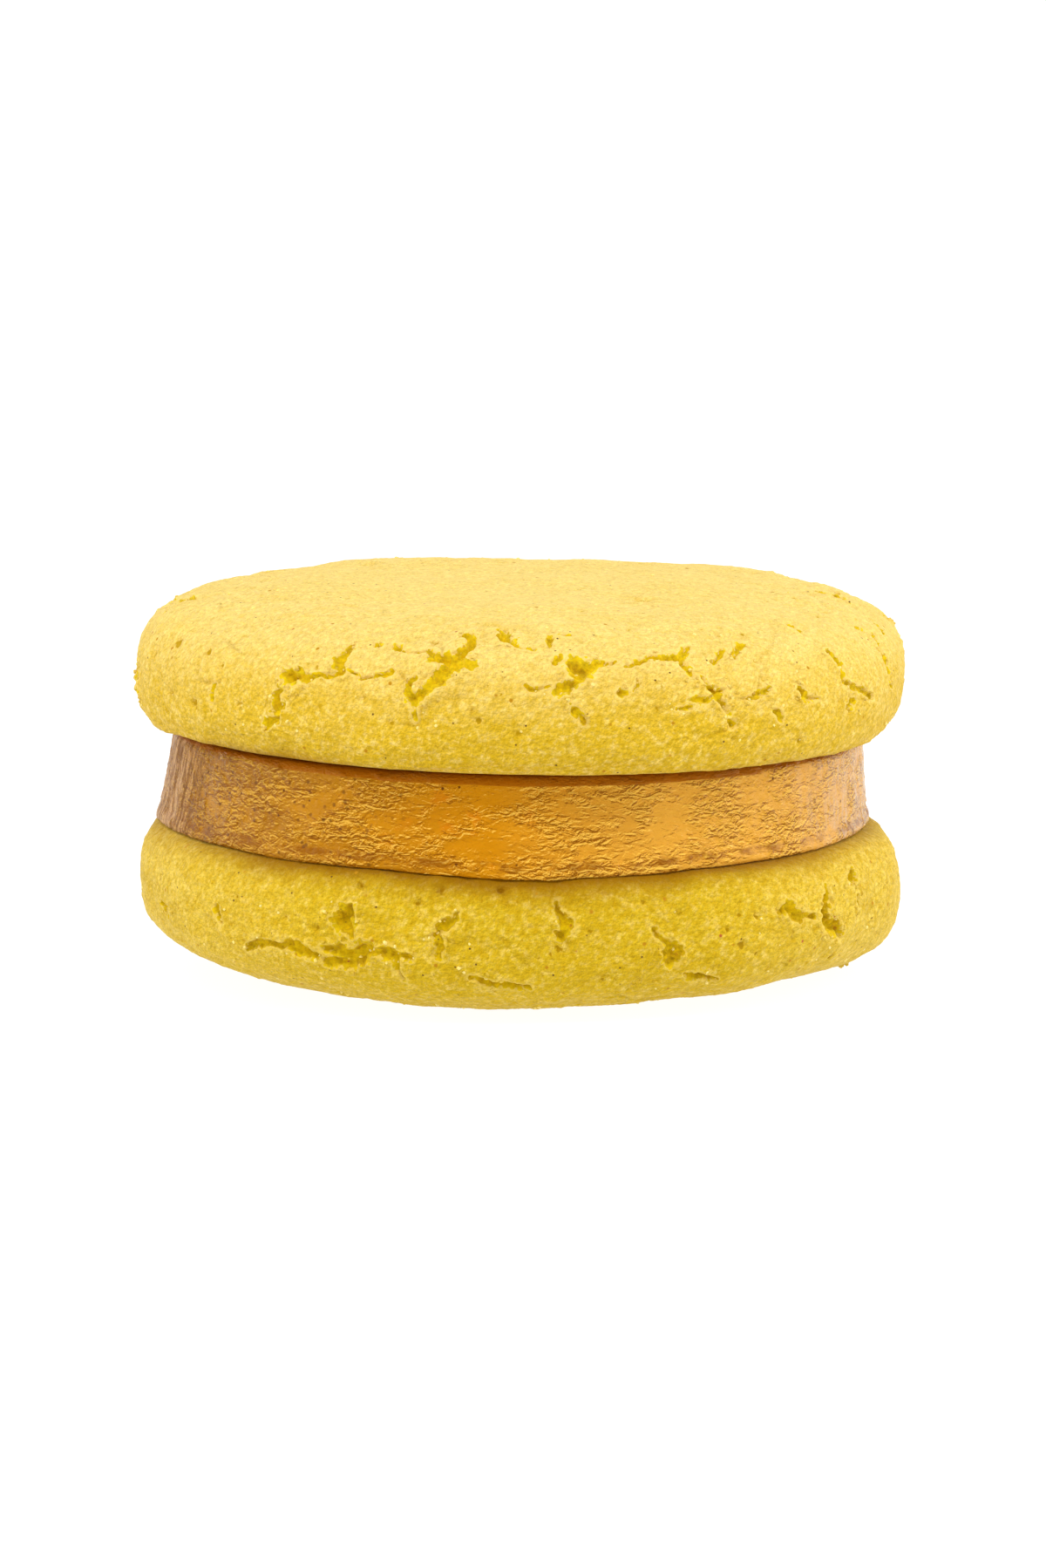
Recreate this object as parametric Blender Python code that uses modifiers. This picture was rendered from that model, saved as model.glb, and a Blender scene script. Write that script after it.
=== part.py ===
"""Builds a sandwich cookie: two round crackled cookies, domes outwards, with a disc of fruit jelly between.

It stands on the dome of the lower cookie at z = 0, with the front at -Y. Sizes below are in millimetres
and the objects are made in metres. An azimuth is in degrees round a cookie from the front, towards +X.
A rise is the way along a cookie's skin from its widest line, positive towards the middle of the dome.
"""

import math
import random

import bmesh
import bpy
import numpy as np
from mathutils import Matrix, Vector, noise
from mathutils.bvhtree import BVHTree

MM = 0.001

# Driving dimensions
UPPER_RADIUS = 40.0
UPPER_DOME = 10.2
UPPER_FLAT = 4.9
UPPER_CENTRE = (0.2, 29.6)
UPPER_TILT = 0.7
UPPER_PITCH = 1.1
LOWER_RADIUS = 39.5
LOWER_DOME = 9.4
LOWER_FLAT = 6.4
LOWER_CENTRE = (-0.35, 9.2)
LOWER_TILT = 0.9
LOWER_PITCH = -0.3
JELLY_RADIUS_FOOT = 36.9
JELLY_RADIUS_TOP = 35.7
JELLY_FOOT_X = -1.1
JELLY_TOP_X = -0.4
JELLY_THICK = 8.5
CONTACT_GAP = 0.36

# Section of a cookie: exponents of the dome's rounding, then the width and exponent of the flat side's corner
UPPER_SECTION = dict(dome_edge=(4.8, 2.8), corner=3.2, corner_edge=2.0)
LOWER_SECTION = dict(dome_edge=(4.2, 2.85), corner=5.4, corner_edge=2.3)
SECTION_STEPS = 801
FLAT_STEPS = 120

# How far each cookie is from round: (waves round it, share of the radius, azimuth of a crest)
UPPER_PLAN = ((2, 0.006, 0), (3, 0.018, 14))
LOWER_PLAN = ((2, 0.014, -21), (3, 0.018, 63))

# Broad swells of the upper dome, as (azimuth, rise, reach, height): the photograph shows its top as level
UPPER_SWELLS = ((180, 17, 15, -0.3), (-140, 15, 11, 0.3), (128, 15, 11, 0.25))
LOWER_SWELLS = ((-110, 9, 12, 0.25),)

# Share of the triangles that each part of the skin gets before thinning: the hidden flat side gets few
FLAT_SIDE_WEIGHT = 0.12
BALL_LEVELS = 7

UPPER_TRIANGLES = 6200
LOWER_TRIANGLES = 5600
JELLY_STEPS = 84

# Relief: soft lumps of the baked dough, as (size of a lump, height)
LUMPS = ((19.0, 0.55), (8.0, 0.28), (4.2, 0.13))
CRACK_SPACING = 0.8
CRACK_WANDER = 0.45
CRACK_LEAST_HALF_WIDTH = 0.55
CRACK_DEPTH_OF_WIDTH = 0.8
CRACK_LEAST_DEPTH = 0.35
CRACK_MOST_DEPTH = 2.1
LIP_HEIGHT = 0.22
LIP_REACH = 1.7

# Cracks that show at the front of the upper cookie: points of (azimuth, rise, width)
UPPER_CRACKS = (
    ((-39.5, 3.2, 0.6), (-35, 4.1, 2.3), (-31, 4.3, 1.2), (-28, 5.2, 1.5), (-28, 9.8, 0.3)),
    ((-39, 3.3, 0.6), (-39.5, 2, 1.7), (-38, 1, 1.4), (-41, -1.9, 0.4)),
    ((-28, 5, 0.8), (-25, 4.4, 0.8), (-20, 5.2, 0.4)),
    ((-25, 8.6, 0.5), (-20, 8.5, 0.8), (-14, 7.9, 0.4)),
    ((-16, 1, 0.3), (-16, 2.6, 1.5), (-13, 4.2, 0.9), (-10.5, 6.1, 2.6), (-8, 8.4, 1.3), (-9, 10.4, 0.4)),
    ((-5, 12.5, 0.8), (-4, 9.6, 2.0), (2, 9, 0.4)),
    ((4, 10.4, 0.9), (8, 11.3, 0.3)),
    ((0, 4.1, 0.4), (4, 3.8, 1.1), (7.5, 5.2, 2.3), (9, 6.7, 2.1), (12, 6.8, 0.5)),
    ((4, 7.5, 0.4), (7.5, 5.8, 1.6)),
    ((15, 6.5, 0.4), (20, 7.7, 1.2), (24, 8.1, 0.9), (26, 8.7, 0.4)),
    ((24.5, 7.7, 0.7), (24, 5.5, 1.3), (26, 3.9, 1.0), (29, 2.8, 1.0), (30, 1, 0.3)),
    ((23.5, 2.8, 0.4), (26.5, 3.4, 0.8)),
    ((29, 6.5, 0.4), (32, 8.3, 0.9)),
    ((33, 7.2, 0.4), (36, 8.7, 0.9)),
    ((32.5, 2.5, 0.4), (37, 3.2, 0.6)),
    ((52, 11.4, 0.3), (52, 8.7, 0.9)),
    ((54, 6, 0.9), (54, 3, 0.7), (63, 0.8, 0.4)),
    ((44, 2.7, 0.5), (52, 1.4, 0.6)),
    ((7.5, 2.3, 0.7), (9, 0.3, 0.3)),
    ((-53, 1.6, 0.6), (-54, -0.2, 0.3)),
    ((89, 14.8, 0.8), (88, 12, 1.1), (82, 8.9, 0.8), (80, 6.3, 0.6)),
)

# Cracks that show at the front of the lower cookie, where the dough tore along its lower edge
LOWER_CRACKS = (
    ((-26, -2.6, 0.9), (-26, -1.2, 2.2), (-25.5, -0.3, 0.6)),
    ((-44, 3.5, 0.4), (-41, 2.4, 1.0), (-36, 1.9, 1.3), (-29, 2.9, 1.6), (-25, 2.2, 3.0), (-19, 1.6, 1.5)),
    ((-25, 3.2, 1.4), (-19, 2.8, 2.8), (-14, 3, 2.4), (-8, 4, 0.8)),
    ((-18, 3, 1.0), (-16.5, 4.7, 0.9), (-11, 4.4, 0.4)),
    ((-7, 3.8, 0.5), (2, 5.3, 0.9), (10, 5, 0.4)),
    ((-9, -2.8, 0.3), (-12, -1, 0.9), (-12, 1.5, 0.9)),
    ((6, -4.1, 0.3), (6.5, -2, 0.9), (6, -0.7, 0.6)),
    ((20, -0.8, 0.4), (22.5, 0.9, 1.4), (24, 2.4, 1.9), (20.5, 3.4, 0.4)),
    ((39.5, -1.9, 0.6), (43, -1.5, 2.0), (49, -0.6, 0.8)),
    ((52, -3, 0.4), (50.5, -1.1, 2.2), (51.5, 0.3, 1.7), (54, 1.9, 0.4)),
    ((60.5, -4.4, 1.1), (60, -2.9, 0.6)),
    ((-49, -0.8, 0.4), (-48, 0.7, 0.5)),
)

# Round pits, as (azimuth, rise, width)
UPPER_PITS = (
    (-73, 3.6, 1.9), (-67, 5.3, 1.3), (-66, 0, 1.2), (-58, -0.6, 1.4), (-57, 5.1, 0.9), (8, 1.5, 0.8),
    (-88, 18.9, 2.2), (-43, 18.9, 1.4), (-36, 12.9, 1.6), (150, 20, 1.8), (-130, 24, 1.6), (40, 27, 1.5),
)
LOWER_PITS = (
    (6, 0.8, 1.4), (13, 4.2, 1.6), (24, -2.3, 1.2), (36, -1.6, 0.9), (-24, -5, 1.0), (-12, -5.1, 1.2),
    (-15, -3.5, 1.0), (-64, 1.3, 2.2), (65, 2, 2.0), (-40, 22, 1.8), (75, 24, 1.6), (170, 21, 1.8),
)

# Cracks all round, where the photograph doesn't reach, are drawn by a rule from these
BACK_AZIMUTHS = (72, 292)
BACK_CRACKS = 15
BACK_RISES = (0.0, 12.5)
BACK_LEAST_RISE = -1.5
BACK_STEP = (2.2, 4.2)
BACK_TURN = 38
BACK_WIDTHS = (0.8, 2.3)

CRUMB_COLOUR = (0.90, 0.62, 0.06, 1.0)
JELLY_COLOUR = (0.66, 0.24, 0.012, 1.0)


class Cookie:
    """A cookie in its own frame, with the dome towards +Z. mirror is -1 where it will be turned over."""

    def __init__(self, name, radius, dome, flat, section, mirror, seed, plan, swells):
        self.name, self.mirror, self.seed, self.plan, self.swells = name, mirror, seed, plan, swells
        angle = np.linspace(-math.pi / 2, math.pi / 2, SECTION_STEPS)
        across, along = np.abs(np.cos(angle)), np.abs(np.sin(angle))
        wide, high = section["dome_edge"]
        corner, edge = section["corner"], section["corner_edge"]
        domed = angle >= 0
        edge_radius = np.where(domed, radius * across ** (2 / wide), radius - corner * (1 - across ** (2 / edge)))
        edge_height = np.where(domed, dome * along ** (2 / high), -flat * along ** (2 / edge))
        inner = np.linspace(0, edge_radius[0], FLAT_STEPS, endpoint=False)
        self.r = np.concatenate([inner, edge_radius])
        self.h = np.concatenate([np.full(FLAT_STEPS, edge_height[0]), edge_height])
        steps = np.hypot(np.diff(self.r), np.diff(self.h))
        self.arc = np.concatenate([[0.0], np.cumsum(steps)])
        self.arc -= self.arc[FLAT_STEPS + SECTION_STEPS // 2]
        weight = np.where(np.arange(len(steps)) < FLAT_STEPS, FLAT_SIDE_WEIGHT, 1.0)
        rings = steps * (self.r[1:] + self.r[:-1]) * weight
        self.share = np.concatenate([[0.0], np.cumsum(rings)]) / rings.sum()
        self.normal_r, self.normal_h = np.gradient(self.h, self.arc), -np.gradient(self.r, self.arc)

    def skin(self, azimuth, rise):
        """Points of the smooth skin and the ways out of it there."""
        angle = np.radians(azimuth) * self.mirror
        swell = 1.0 + sum(
            amount * np.cos(count * (np.radians(azimuth) - math.radians(start)))
            for count, amount, start in self.plan
        )
        radius = np.interp(rise, self.arc, self.r) * swell
        out = np.interp(rise, self.arc, self.normal_r)
        up = np.interp(rise, self.arc, self.normal_h)
        around = np.sin(angle), -np.cos(angle)
        points = np.stack([radius * around[0], radius * around[1], np.interp(rise, self.arc, self.h)], -1)
        normals = np.stack([out * around[0], out * around[1], up], -1)
        return points, normals / np.linalg.norm(normals, axis=-1, keepdims=True)


def ragged(points, seed):
    """A crack's path with closely spaced points that wander to either side, as (azimuth, rise, width) rows."""
    points = np.array(points, float)
    millimetres = np.hypot(np.diff(points[:, 0]) * math.radians(1) * UPPER_RADIUS * 0.95, np.diff(points[:, 1]))
    along = np.concatenate([[0.0], np.cumsum(millimetres)])
    count = max(3, int(along[-1] / CRACK_SPACING) + 1)
    at = np.linspace(0, along[-1], count)
    rows = np.stack([np.interp(at, along, points[:, column]) for column in range(3)], -1)
    for i in range(1, count - 1):
        place = Vector((at[i] * 0.6, seed * 7.3, 0.0))
        rows[i, 0] += math.degrees(CRACK_WANDER * 2 * noise.noise(place) / UPPER_RADIUS)
        rows[i, 1] += CRACK_WANDER * 2 * noise.noise(place + Vector((0.0, 0.0, 9.0)))
        rows[i, 2] *= 1.0 + 0.5 * noise.noise(place + Vector((0.0, 0.0, 23.0)))
    return rows


def back_cracks(seed):
    """Cracks round the sides and back, each a short walk with a branch."""
    draw = random.Random(seed)
    found = []
    for i in range(BACK_CRACKS):
        first, last = BACK_AZIMUTHS
        azimuth = first + (last - first) * (i + draw.random() * 0.8) / BACK_CRACKS
        rise = draw.uniform(*BACK_RISES)
        heading = draw.choice((0, 180)) + draw.uniform(-50, 50)
        path = [(azimuth, rise, 0.3)]
        for step in range(draw.randint(2, 4)):
            heading += draw.uniform(-BACK_TURN, BACK_TURN)
            stride = draw.uniform(*BACK_STEP)
            azimuth += math.degrees(stride * math.cos(math.radians(heading)) / UPPER_RADIUS)
            rise = max(rise + stride * math.sin(math.radians(heading)) * 0.8, BACK_LEAST_RISE)
            path.append((azimuth, rise, draw.uniform(*BACK_WIDTHS)))
        path[-1] = (path[-1][0], path[-1][1], 0.4)
        found.append(path)
        fork = path[1]
        end = max(fork[1] + draw.choice((-1, 1)) * 3.0, BACK_LEAST_RISE)
        found.append([fork, (fork[0] + draw.uniform(-4, 4), end, 0.4)])
    return found


def swelling(cookie, points):
    """How far the broad swells lift each point."""
    lift = np.zeros(len(points))
    for azimuth, rise, reach, height in cookie.swells:
        middle, _ = cookie.skin(np.array(azimuth, float), np.array(rise, float))
        distance = np.linalg.norm(points - middle, axis=1) / reach
        lift += height * np.exp(-distance * distance * 2)
    return lift


def smooth_step(low, high, value):
    share = np.clip((value - low) / (high - low), 0.0, 1.0)
    return share * share * (3 - 2 * share)


def crack_relief(cookie, points, cracks):
    """How far each point sinks into a crack, and how far it rises on a crack's lip."""
    sunk, lip = np.zeros(len(points)), np.zeros(len(points))
    for number, crack in enumerate(cracks):
        rows = ragged(crack, cookie.seed + number)
        line, _ = cookie.skin(rows[:, 0], rows[:, 1])
        reach = rows[:, 2].max() + 3 * LIP_REACH
        near = np.flatnonzero(((points > line.min(0) - reach) & (points < line.max(0) + reach)).all(1))
        for i in range(len(line) - 1):
            way = line[i + 1] - line[i]
            offset = points[near] - line[i]
            share = np.clip(offset @ way / (way @ way + 1e-12), 0, 1)
            distance = np.linalg.norm(offset - share[:, None] * way, axis=1)
            width = rows[i, 2] + share * (rows[i + 1, 2] - rows[i, 2])
            half = np.maximum(width / 2, CRACK_LEAST_HALF_WIDTH)
            depth = np.clip(CRACK_DEPTH_OF_WIDTH * width + CRACK_LEAST_DEPTH, 0, CRACK_MOST_DEPTH)
            sunk[near] = np.maximum(sunk[near], depth * (1 - smooth_step(0.15, 1.15, distance / half)))
            edge = np.maximum(distance - half, 0) / LIP_REACH
            lip[near] = np.maximum(lip[near], LIP_HEIGHT * np.minimum(width, 1.5) / 1.5 * np.exp(-edge * edge))
    return sunk, lip


def pit_relief(cookie, points, pits):
    """How far each point sinks into a round pit."""
    sunk = np.zeros(len(points))
    for azimuth, rise, width in pits:
        middle, _ = cookie.skin(np.array(azimuth, float), np.array(rise, float))
        distance = np.linalg.norm(points - middle, axis=1) / (width * 0.7)
        sunk = np.maximum(sunk, 0.45 * width * np.exp(-distance * distance * 2))
    return sunk


def cookie_mesh(cookie, cracks, pits):
    """A fine closed skin: a ball of triangles wrapped round the section, then moved by the relief."""
    ball = bmesh.new()
    bmesh.ops.create_icosphere(ball, subdivisions=BALL_LEVELS, radius=1.0)
    directions = np.array([vertex.co for vertex in ball.verts])
    azimuth = np.degrees(np.arctan2(directions[:, 0] * cookie.mirror, -directions[:, 1]))
    rise = np.interp((directions[:, 2] + 1) / 2, cookie.share, cookie.arc)
    points, normals = cookie.skin(azimuth, rise)
    sunk, lip = crack_relief(cookie, points, cracks)
    sunk = np.maximum(sunk, pit_relief(cookie, points, pits))
    lip += swelling(cookie, points)
    for vertex, point, normal, down, up in zip(ball.verts, points, normals, sunk, lip):
        place = Vector(point)
        swell = sum(height * noise.noise(place / size + Vector((cookie.seed, 0, 0))) for size, height in LUMPS)
        on_flat = max(0.0, -normal[2] - 0.8) * 5
        move = (swell + up) * (1 - on_flat) - down
        vertex.co = (place + Vector(normal) * move) * MM
    mesh = bpy.data.meshes.new(cookie.name)
    ball.to_mesh(mesh)
    ball.free()
    mesh.shade_smooth()
    return mesh


def material(name, colour, roughness):
    made = bpy.data.materials.new(name)
    made.use_nodes = True
    shader = made.node_tree.nodes["Principled BSDF"]
    shader.inputs["Base Color"].default_value = colour
    shader.inputs["Roughness"].default_value = roughness
    shader.inputs["Metallic"].default_value = 0.0
    return made


def put(mesh, name, collection, finish, matrix):
    made = bpy.data.objects.new(name, mesh)
    collection.objects.link(made)
    made.matrix_world = matrix
    mesh.materials.append(finish)
    return made


def thin_out(piece, triangles):
    """Keeps the triangles where the relief is, down to the number given."""
    thinned = piece.modifiers.new("thin_out", "DECIMATE")
    thinned.ratio = triangles / len(piece.data.polygons)


def table_cutter(collection):
    """The space under the table, which gives the lower cookie its small flat spot."""
    side, deep = 120.0, 20.0
    box = bmesh.new()
    bmesh.ops.create_cube(box, size=1.0)
    bmesh.ops.scale(box, verts=box.verts, vec=(side * MM, side * MM, deep * MM))
    mesh = bpy.data.meshes.new("table_cutter")
    box.to_mesh(mesh)
    box.free()
    cutter = bpy.data.objects.new("table_cutter", mesh)
    collection.objects.link(cutter)
    cutter.location.z = -deep / 2 * MM
    cutter.hide_render = True
    cutter.display_type = "WIRE"
    return cutter


def height_at(cookie_tree, x, y, start, way):
    """The height where a ray from start, straight up or down, meets a cookie."""
    hit = cookie_tree.ray_cast(Vector((x, y, start)), Vector((0.0, 0.0, way)))[0]
    return hit.z


def jelly_disc(collection, finish, lower, upper):
    """A turned disc with a bevelled top and a lip at its foot, moulded to the cookies above and below it."""
    foot, top, high = JELLY_RADIUS_FOOT, JELLY_RADIUS_TOP, JELLY_THICK
    outline = (
        (0.0, high), (top - 1.0, high), (top - 0.35, high - 0.2), (top, high - 0.8),
        (foot - 0.45, 1.5), (foot - 0.15, 1.0), (foot, 0.6), (foot - 0.05, 0.2),
        (foot - 0.3, 0.0), (foot - 1.2, 0.0), (foot - 2.4, 0.0), (foot - 4.2, 0.0), (0.0, 0.0),
    )
    mesh = bpy.data.meshes.new("jelly_filling")
    edges = [(i, i + 1) for i in range(len(outline) - 1)]
    mesh.from_pydata([(r * MM, 0, z * MM) for r, z in outline], edges, [])
    turned = put(mesh, "jelly_filling", collection, finish, Matrix.Identity(4))
    screw = turned.modifiers.new("turn", "SCREW")
    screw.steps = screw.render_steps = JELLY_STEPS
    screw.use_merge_vertices = True
    screw.merge_threshold = 0.00001
    bpy.context.view_layer.update()
    graph = bpy.context.evaluated_depsgraph_get()
    shape = bpy.data.meshes.new_from_object(turned.evaluated_get(graph))
    turned.modifiers.clear()
    turned.data = shape
    trees = []
    for cookie in (lower, upper):
        solid = bmesh.new()
        solid.from_mesh(cookie.evaluated_get(graph).data)
        bmesh.ops.transform(solid, matrix=cookie.matrix_world, verts=solid.verts)
        trees.append(BVHTree.FromBMesh(solid))
        solid.free()
    middle = (LOWER_CENTRE[1] + UPPER_CENTRE[1]) / 2 * MM
    for vertex in shape.vertices:
        share = vertex.co.z / (high * MM)
        vertex.co.x += (JELLY_FOOT_X + (JELLY_TOP_X - JELLY_FOOT_X) * share) * MM
        floor = height_at(trees[0], vertex.co.x, vertex.co.y, middle, -1) + CONTACT_GAP * MM
        roof = height_at(trees[1], vertex.co.x, vertex.co.y, middle, 1) - CONTACT_GAP * MM
        vertex.co.z = floor + (roof - floor) * share
    shape.set_sharp_from_angle(angle=math.radians(40))
    return turned


def placed(centre, tilt, pitch):
    """tilt lowers the +X side, and pitch lifts the front."""
    lean = Matrix.Rotation(math.radians(-pitch), 4, "X") @ Matrix.Rotation(math.radians(tilt), 4, "Y")
    return Matrix.Translation((centre[0] * MM, 0, centre[1] * MM)) @ lean


def main():
    for old in list(bpy.data.objects):
        bpy.data.objects.remove(old)
    parts = bpy.data.collections.new("sandwich_cookie")
    cutters = bpy.data.collections.new("cutters")
    for collection in (parts, cutters):
        bpy.context.scene.collection.children.link(collection)
    crumb = material("crumb", CRUMB_COLOUR, 0.8)
    jelly = material("jelly", JELLY_COLOUR, 0.2)

    upper = Cookie(
        "cookie_upper", UPPER_RADIUS, UPPER_DOME, UPPER_FLAT, UPPER_SECTION, 1, 11, UPPER_PLAN, UPPER_SWELLS
    )
    lower = Cookie(
        "cookie_lower", LOWER_RADIUS, LOWER_DOME, LOWER_FLAT, LOWER_SECTION, -1, 47, LOWER_PLAN, LOWER_SWELLS
    )
    top = put(
        cookie_mesh(upper, UPPER_CRACKS + tuple(back_cracks(3)), UPPER_PITS),
        upper.name, parts, crumb, placed(UPPER_CENTRE, UPPER_TILT, UPPER_PITCH),
    )
    thin_out(top, UPPER_TRIANGLES)
    base = put(
        cookie_mesh(lower, LOWER_CRACKS + tuple(back_cracks(8)), LOWER_PITS),
        lower.name, parts, crumb,
        placed(LOWER_CENTRE, LOWER_TILT, LOWER_PITCH) @ Matrix.Rotation(math.pi, 4, "Y"),
    )
    thin_out(base, LOWER_TRIANGLES)
    cut = base.modifiers.new("flat_spot", "BOOLEAN")
    cut.operation = "DIFFERENCE"
    cut.object = table_cutter(cutters)
    jelly_disc(parts, jelly, base, top)


main()
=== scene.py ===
"""Dresses a sandwich cookie for its portrait: two crackled sugar cookies with fruit jelly between them.

Each cookie repeats its solid's named sizes and gains the crumb, crumbs and sugar grains of the real one.
The jelly repeats its disc with a wrinkled wall. Sizes are in millimetres, and objects are made in metres.
An azimuth is in degrees round a cookie from the front, towards +X. A rise is the way along a cookie's skin
from its widest line, positive towards the middle of its dome.
"""

import math
import random

import bmesh
import bpy
import numpy as np
from mathutils import Matrix, Vector, noise
from mathutils.bvhtree import BVHTree


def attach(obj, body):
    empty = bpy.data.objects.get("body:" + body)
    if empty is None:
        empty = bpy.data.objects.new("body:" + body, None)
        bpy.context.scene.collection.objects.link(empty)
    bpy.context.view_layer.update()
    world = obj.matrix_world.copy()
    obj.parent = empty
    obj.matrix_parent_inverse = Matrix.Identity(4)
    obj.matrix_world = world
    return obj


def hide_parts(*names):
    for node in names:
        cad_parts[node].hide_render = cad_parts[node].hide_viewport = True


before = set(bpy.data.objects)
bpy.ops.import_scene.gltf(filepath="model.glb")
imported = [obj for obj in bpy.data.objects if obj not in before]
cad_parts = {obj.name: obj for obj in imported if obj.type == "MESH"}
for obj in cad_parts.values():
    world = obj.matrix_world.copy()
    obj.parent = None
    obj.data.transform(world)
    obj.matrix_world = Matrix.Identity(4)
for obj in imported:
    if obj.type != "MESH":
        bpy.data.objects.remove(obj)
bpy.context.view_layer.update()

MM = 0.001

# Sizes of the solids
UPPER_RADIUS = 40.0
UPPER_DOME = 10.2
UPPER_FLAT = 4.9
UPPER_CENTRE = (0.2, 29.6)
UPPER_TILT = 0.7
UPPER_PITCH = 1.1
LOWER_RADIUS = 39.5
LOWER_DOME = 9.4
LOWER_FLAT = 6.4
LOWER_CENTRE = (-0.35, 9.2)
LOWER_TILT = 0.9
LOWER_PITCH = -0.3
JELLY_RADIUS_FOOT = 36.9
JELLY_RADIUS_TOP = 35.7
JELLY_FOOT_X = -1.1
JELLY_TOP_X = -0.4
JELLY_THICK = 8.5
UPPER_SECTION = dict(dome_edge=(4.8, 2.8), corner=3.2, corner_edge=2.0)
LOWER_SECTION = dict(dome_edge=(4.2, 2.85), corner=5.4, corner_edge=2.3)
SECTION_STEPS = 801
FLAT_STEPS = 120
UPPER_PLAN = ((2, 0.006, 0), (3, 0.018, 14))
LOWER_PLAN = ((2, 0.014, -21), (3, 0.018, 63))
UPPER_SWELLS = ((180, 17, 15, -0.3), (-140, 15, 11, 0.3), (128, 15, 11, 0.25))
LOWER_SWELLS = ((-110, 9, 12, 0.25),)
LUMPS = ((19.0, 0.55), (8.0, 0.28), (4.2, 0.13))

# Mesh of a cookie: cells along a side of the cube that it is wrapped from, each zone's share of them,
# and the finer cuts along the cracks and round the pits in front
CUBE_CELLS = 88
FLAT_SIDE_WEIGHT = 0.03
CROWN_WEIGHT = 0.3
CROWN_RADIUS = 27.0
FRONT_SHARE = 0.3
TORN_CUTS = 2
TORN_NEAR = -0.24
TORN_FRONT = 80

# Crumb relief: granules and grain of the dough, as (size, height), and where they are rough or calm
GRANULES = (0.85, 0.15)
GRAIN = ((3.4, 0.12), (1.7, 0.12), (0.62, 0.08))
ROUGH_PATCH = 9.0
ROUGH_LEAST = 0.65
ROUGH_IN_CRACKS = 0.4
CALM_CROWN = 0.35
CALM_CROWN_RISES = (12, 20)
FLAT_SIDE_GRAIN = 0.25

# Bits on the rim of the flat side, as (size, height), between the rises where they start and end
RIM_BITS = (1.3, 0.22)
RIM_BITS_START = (-7, -4.5)
RIM_BITS_END = (-3.2, -1.5)

# Fine creases, between the rises where they start and fade
CREASE_CELL = 5.2
CREASE_WARP = (2.4, 0.9)
CREASE_PATCH = 7.0
CREASE_DEPTH = 0.3
CREASE_WIDTH = 0.1
CREASE_START = (-3, 0)
CREASE_END = (12, 19)

# Cracks: how a path wanders, how its edge frays and crumbles, as (size, height), and how deep it is
CRACK_SPACING = 0.6
CRACK_WANDER = 0.26
CRACK_FRAY = ((1.3, 0.36), (0.6, 0.24))
CRACK_FRAY_MOST = 1.2
CRACK_CRUMBLE = (0.6, 0.5)
CRUMBLE_LEVEL = 0.45
CRUMBLE_HEIGHT = 0.14
CRACK_OPENING = 1.65
CRACK_LEAST_HALF_WIDTH = 0.17
CRACK_DEPTH_OF_WIDTH = 0.65
CRACK_LEAST_DEPTH = 0.25
CRACK_MOST_DEPTH = 1.5
CRACK_WALL = 0.9
CRACK_WALL_LEAST = 0.22
LIP_HEIGHT = 0.3
LIP_REACH = 1.0
LIP_FULL_WIDTH = 1.5

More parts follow.
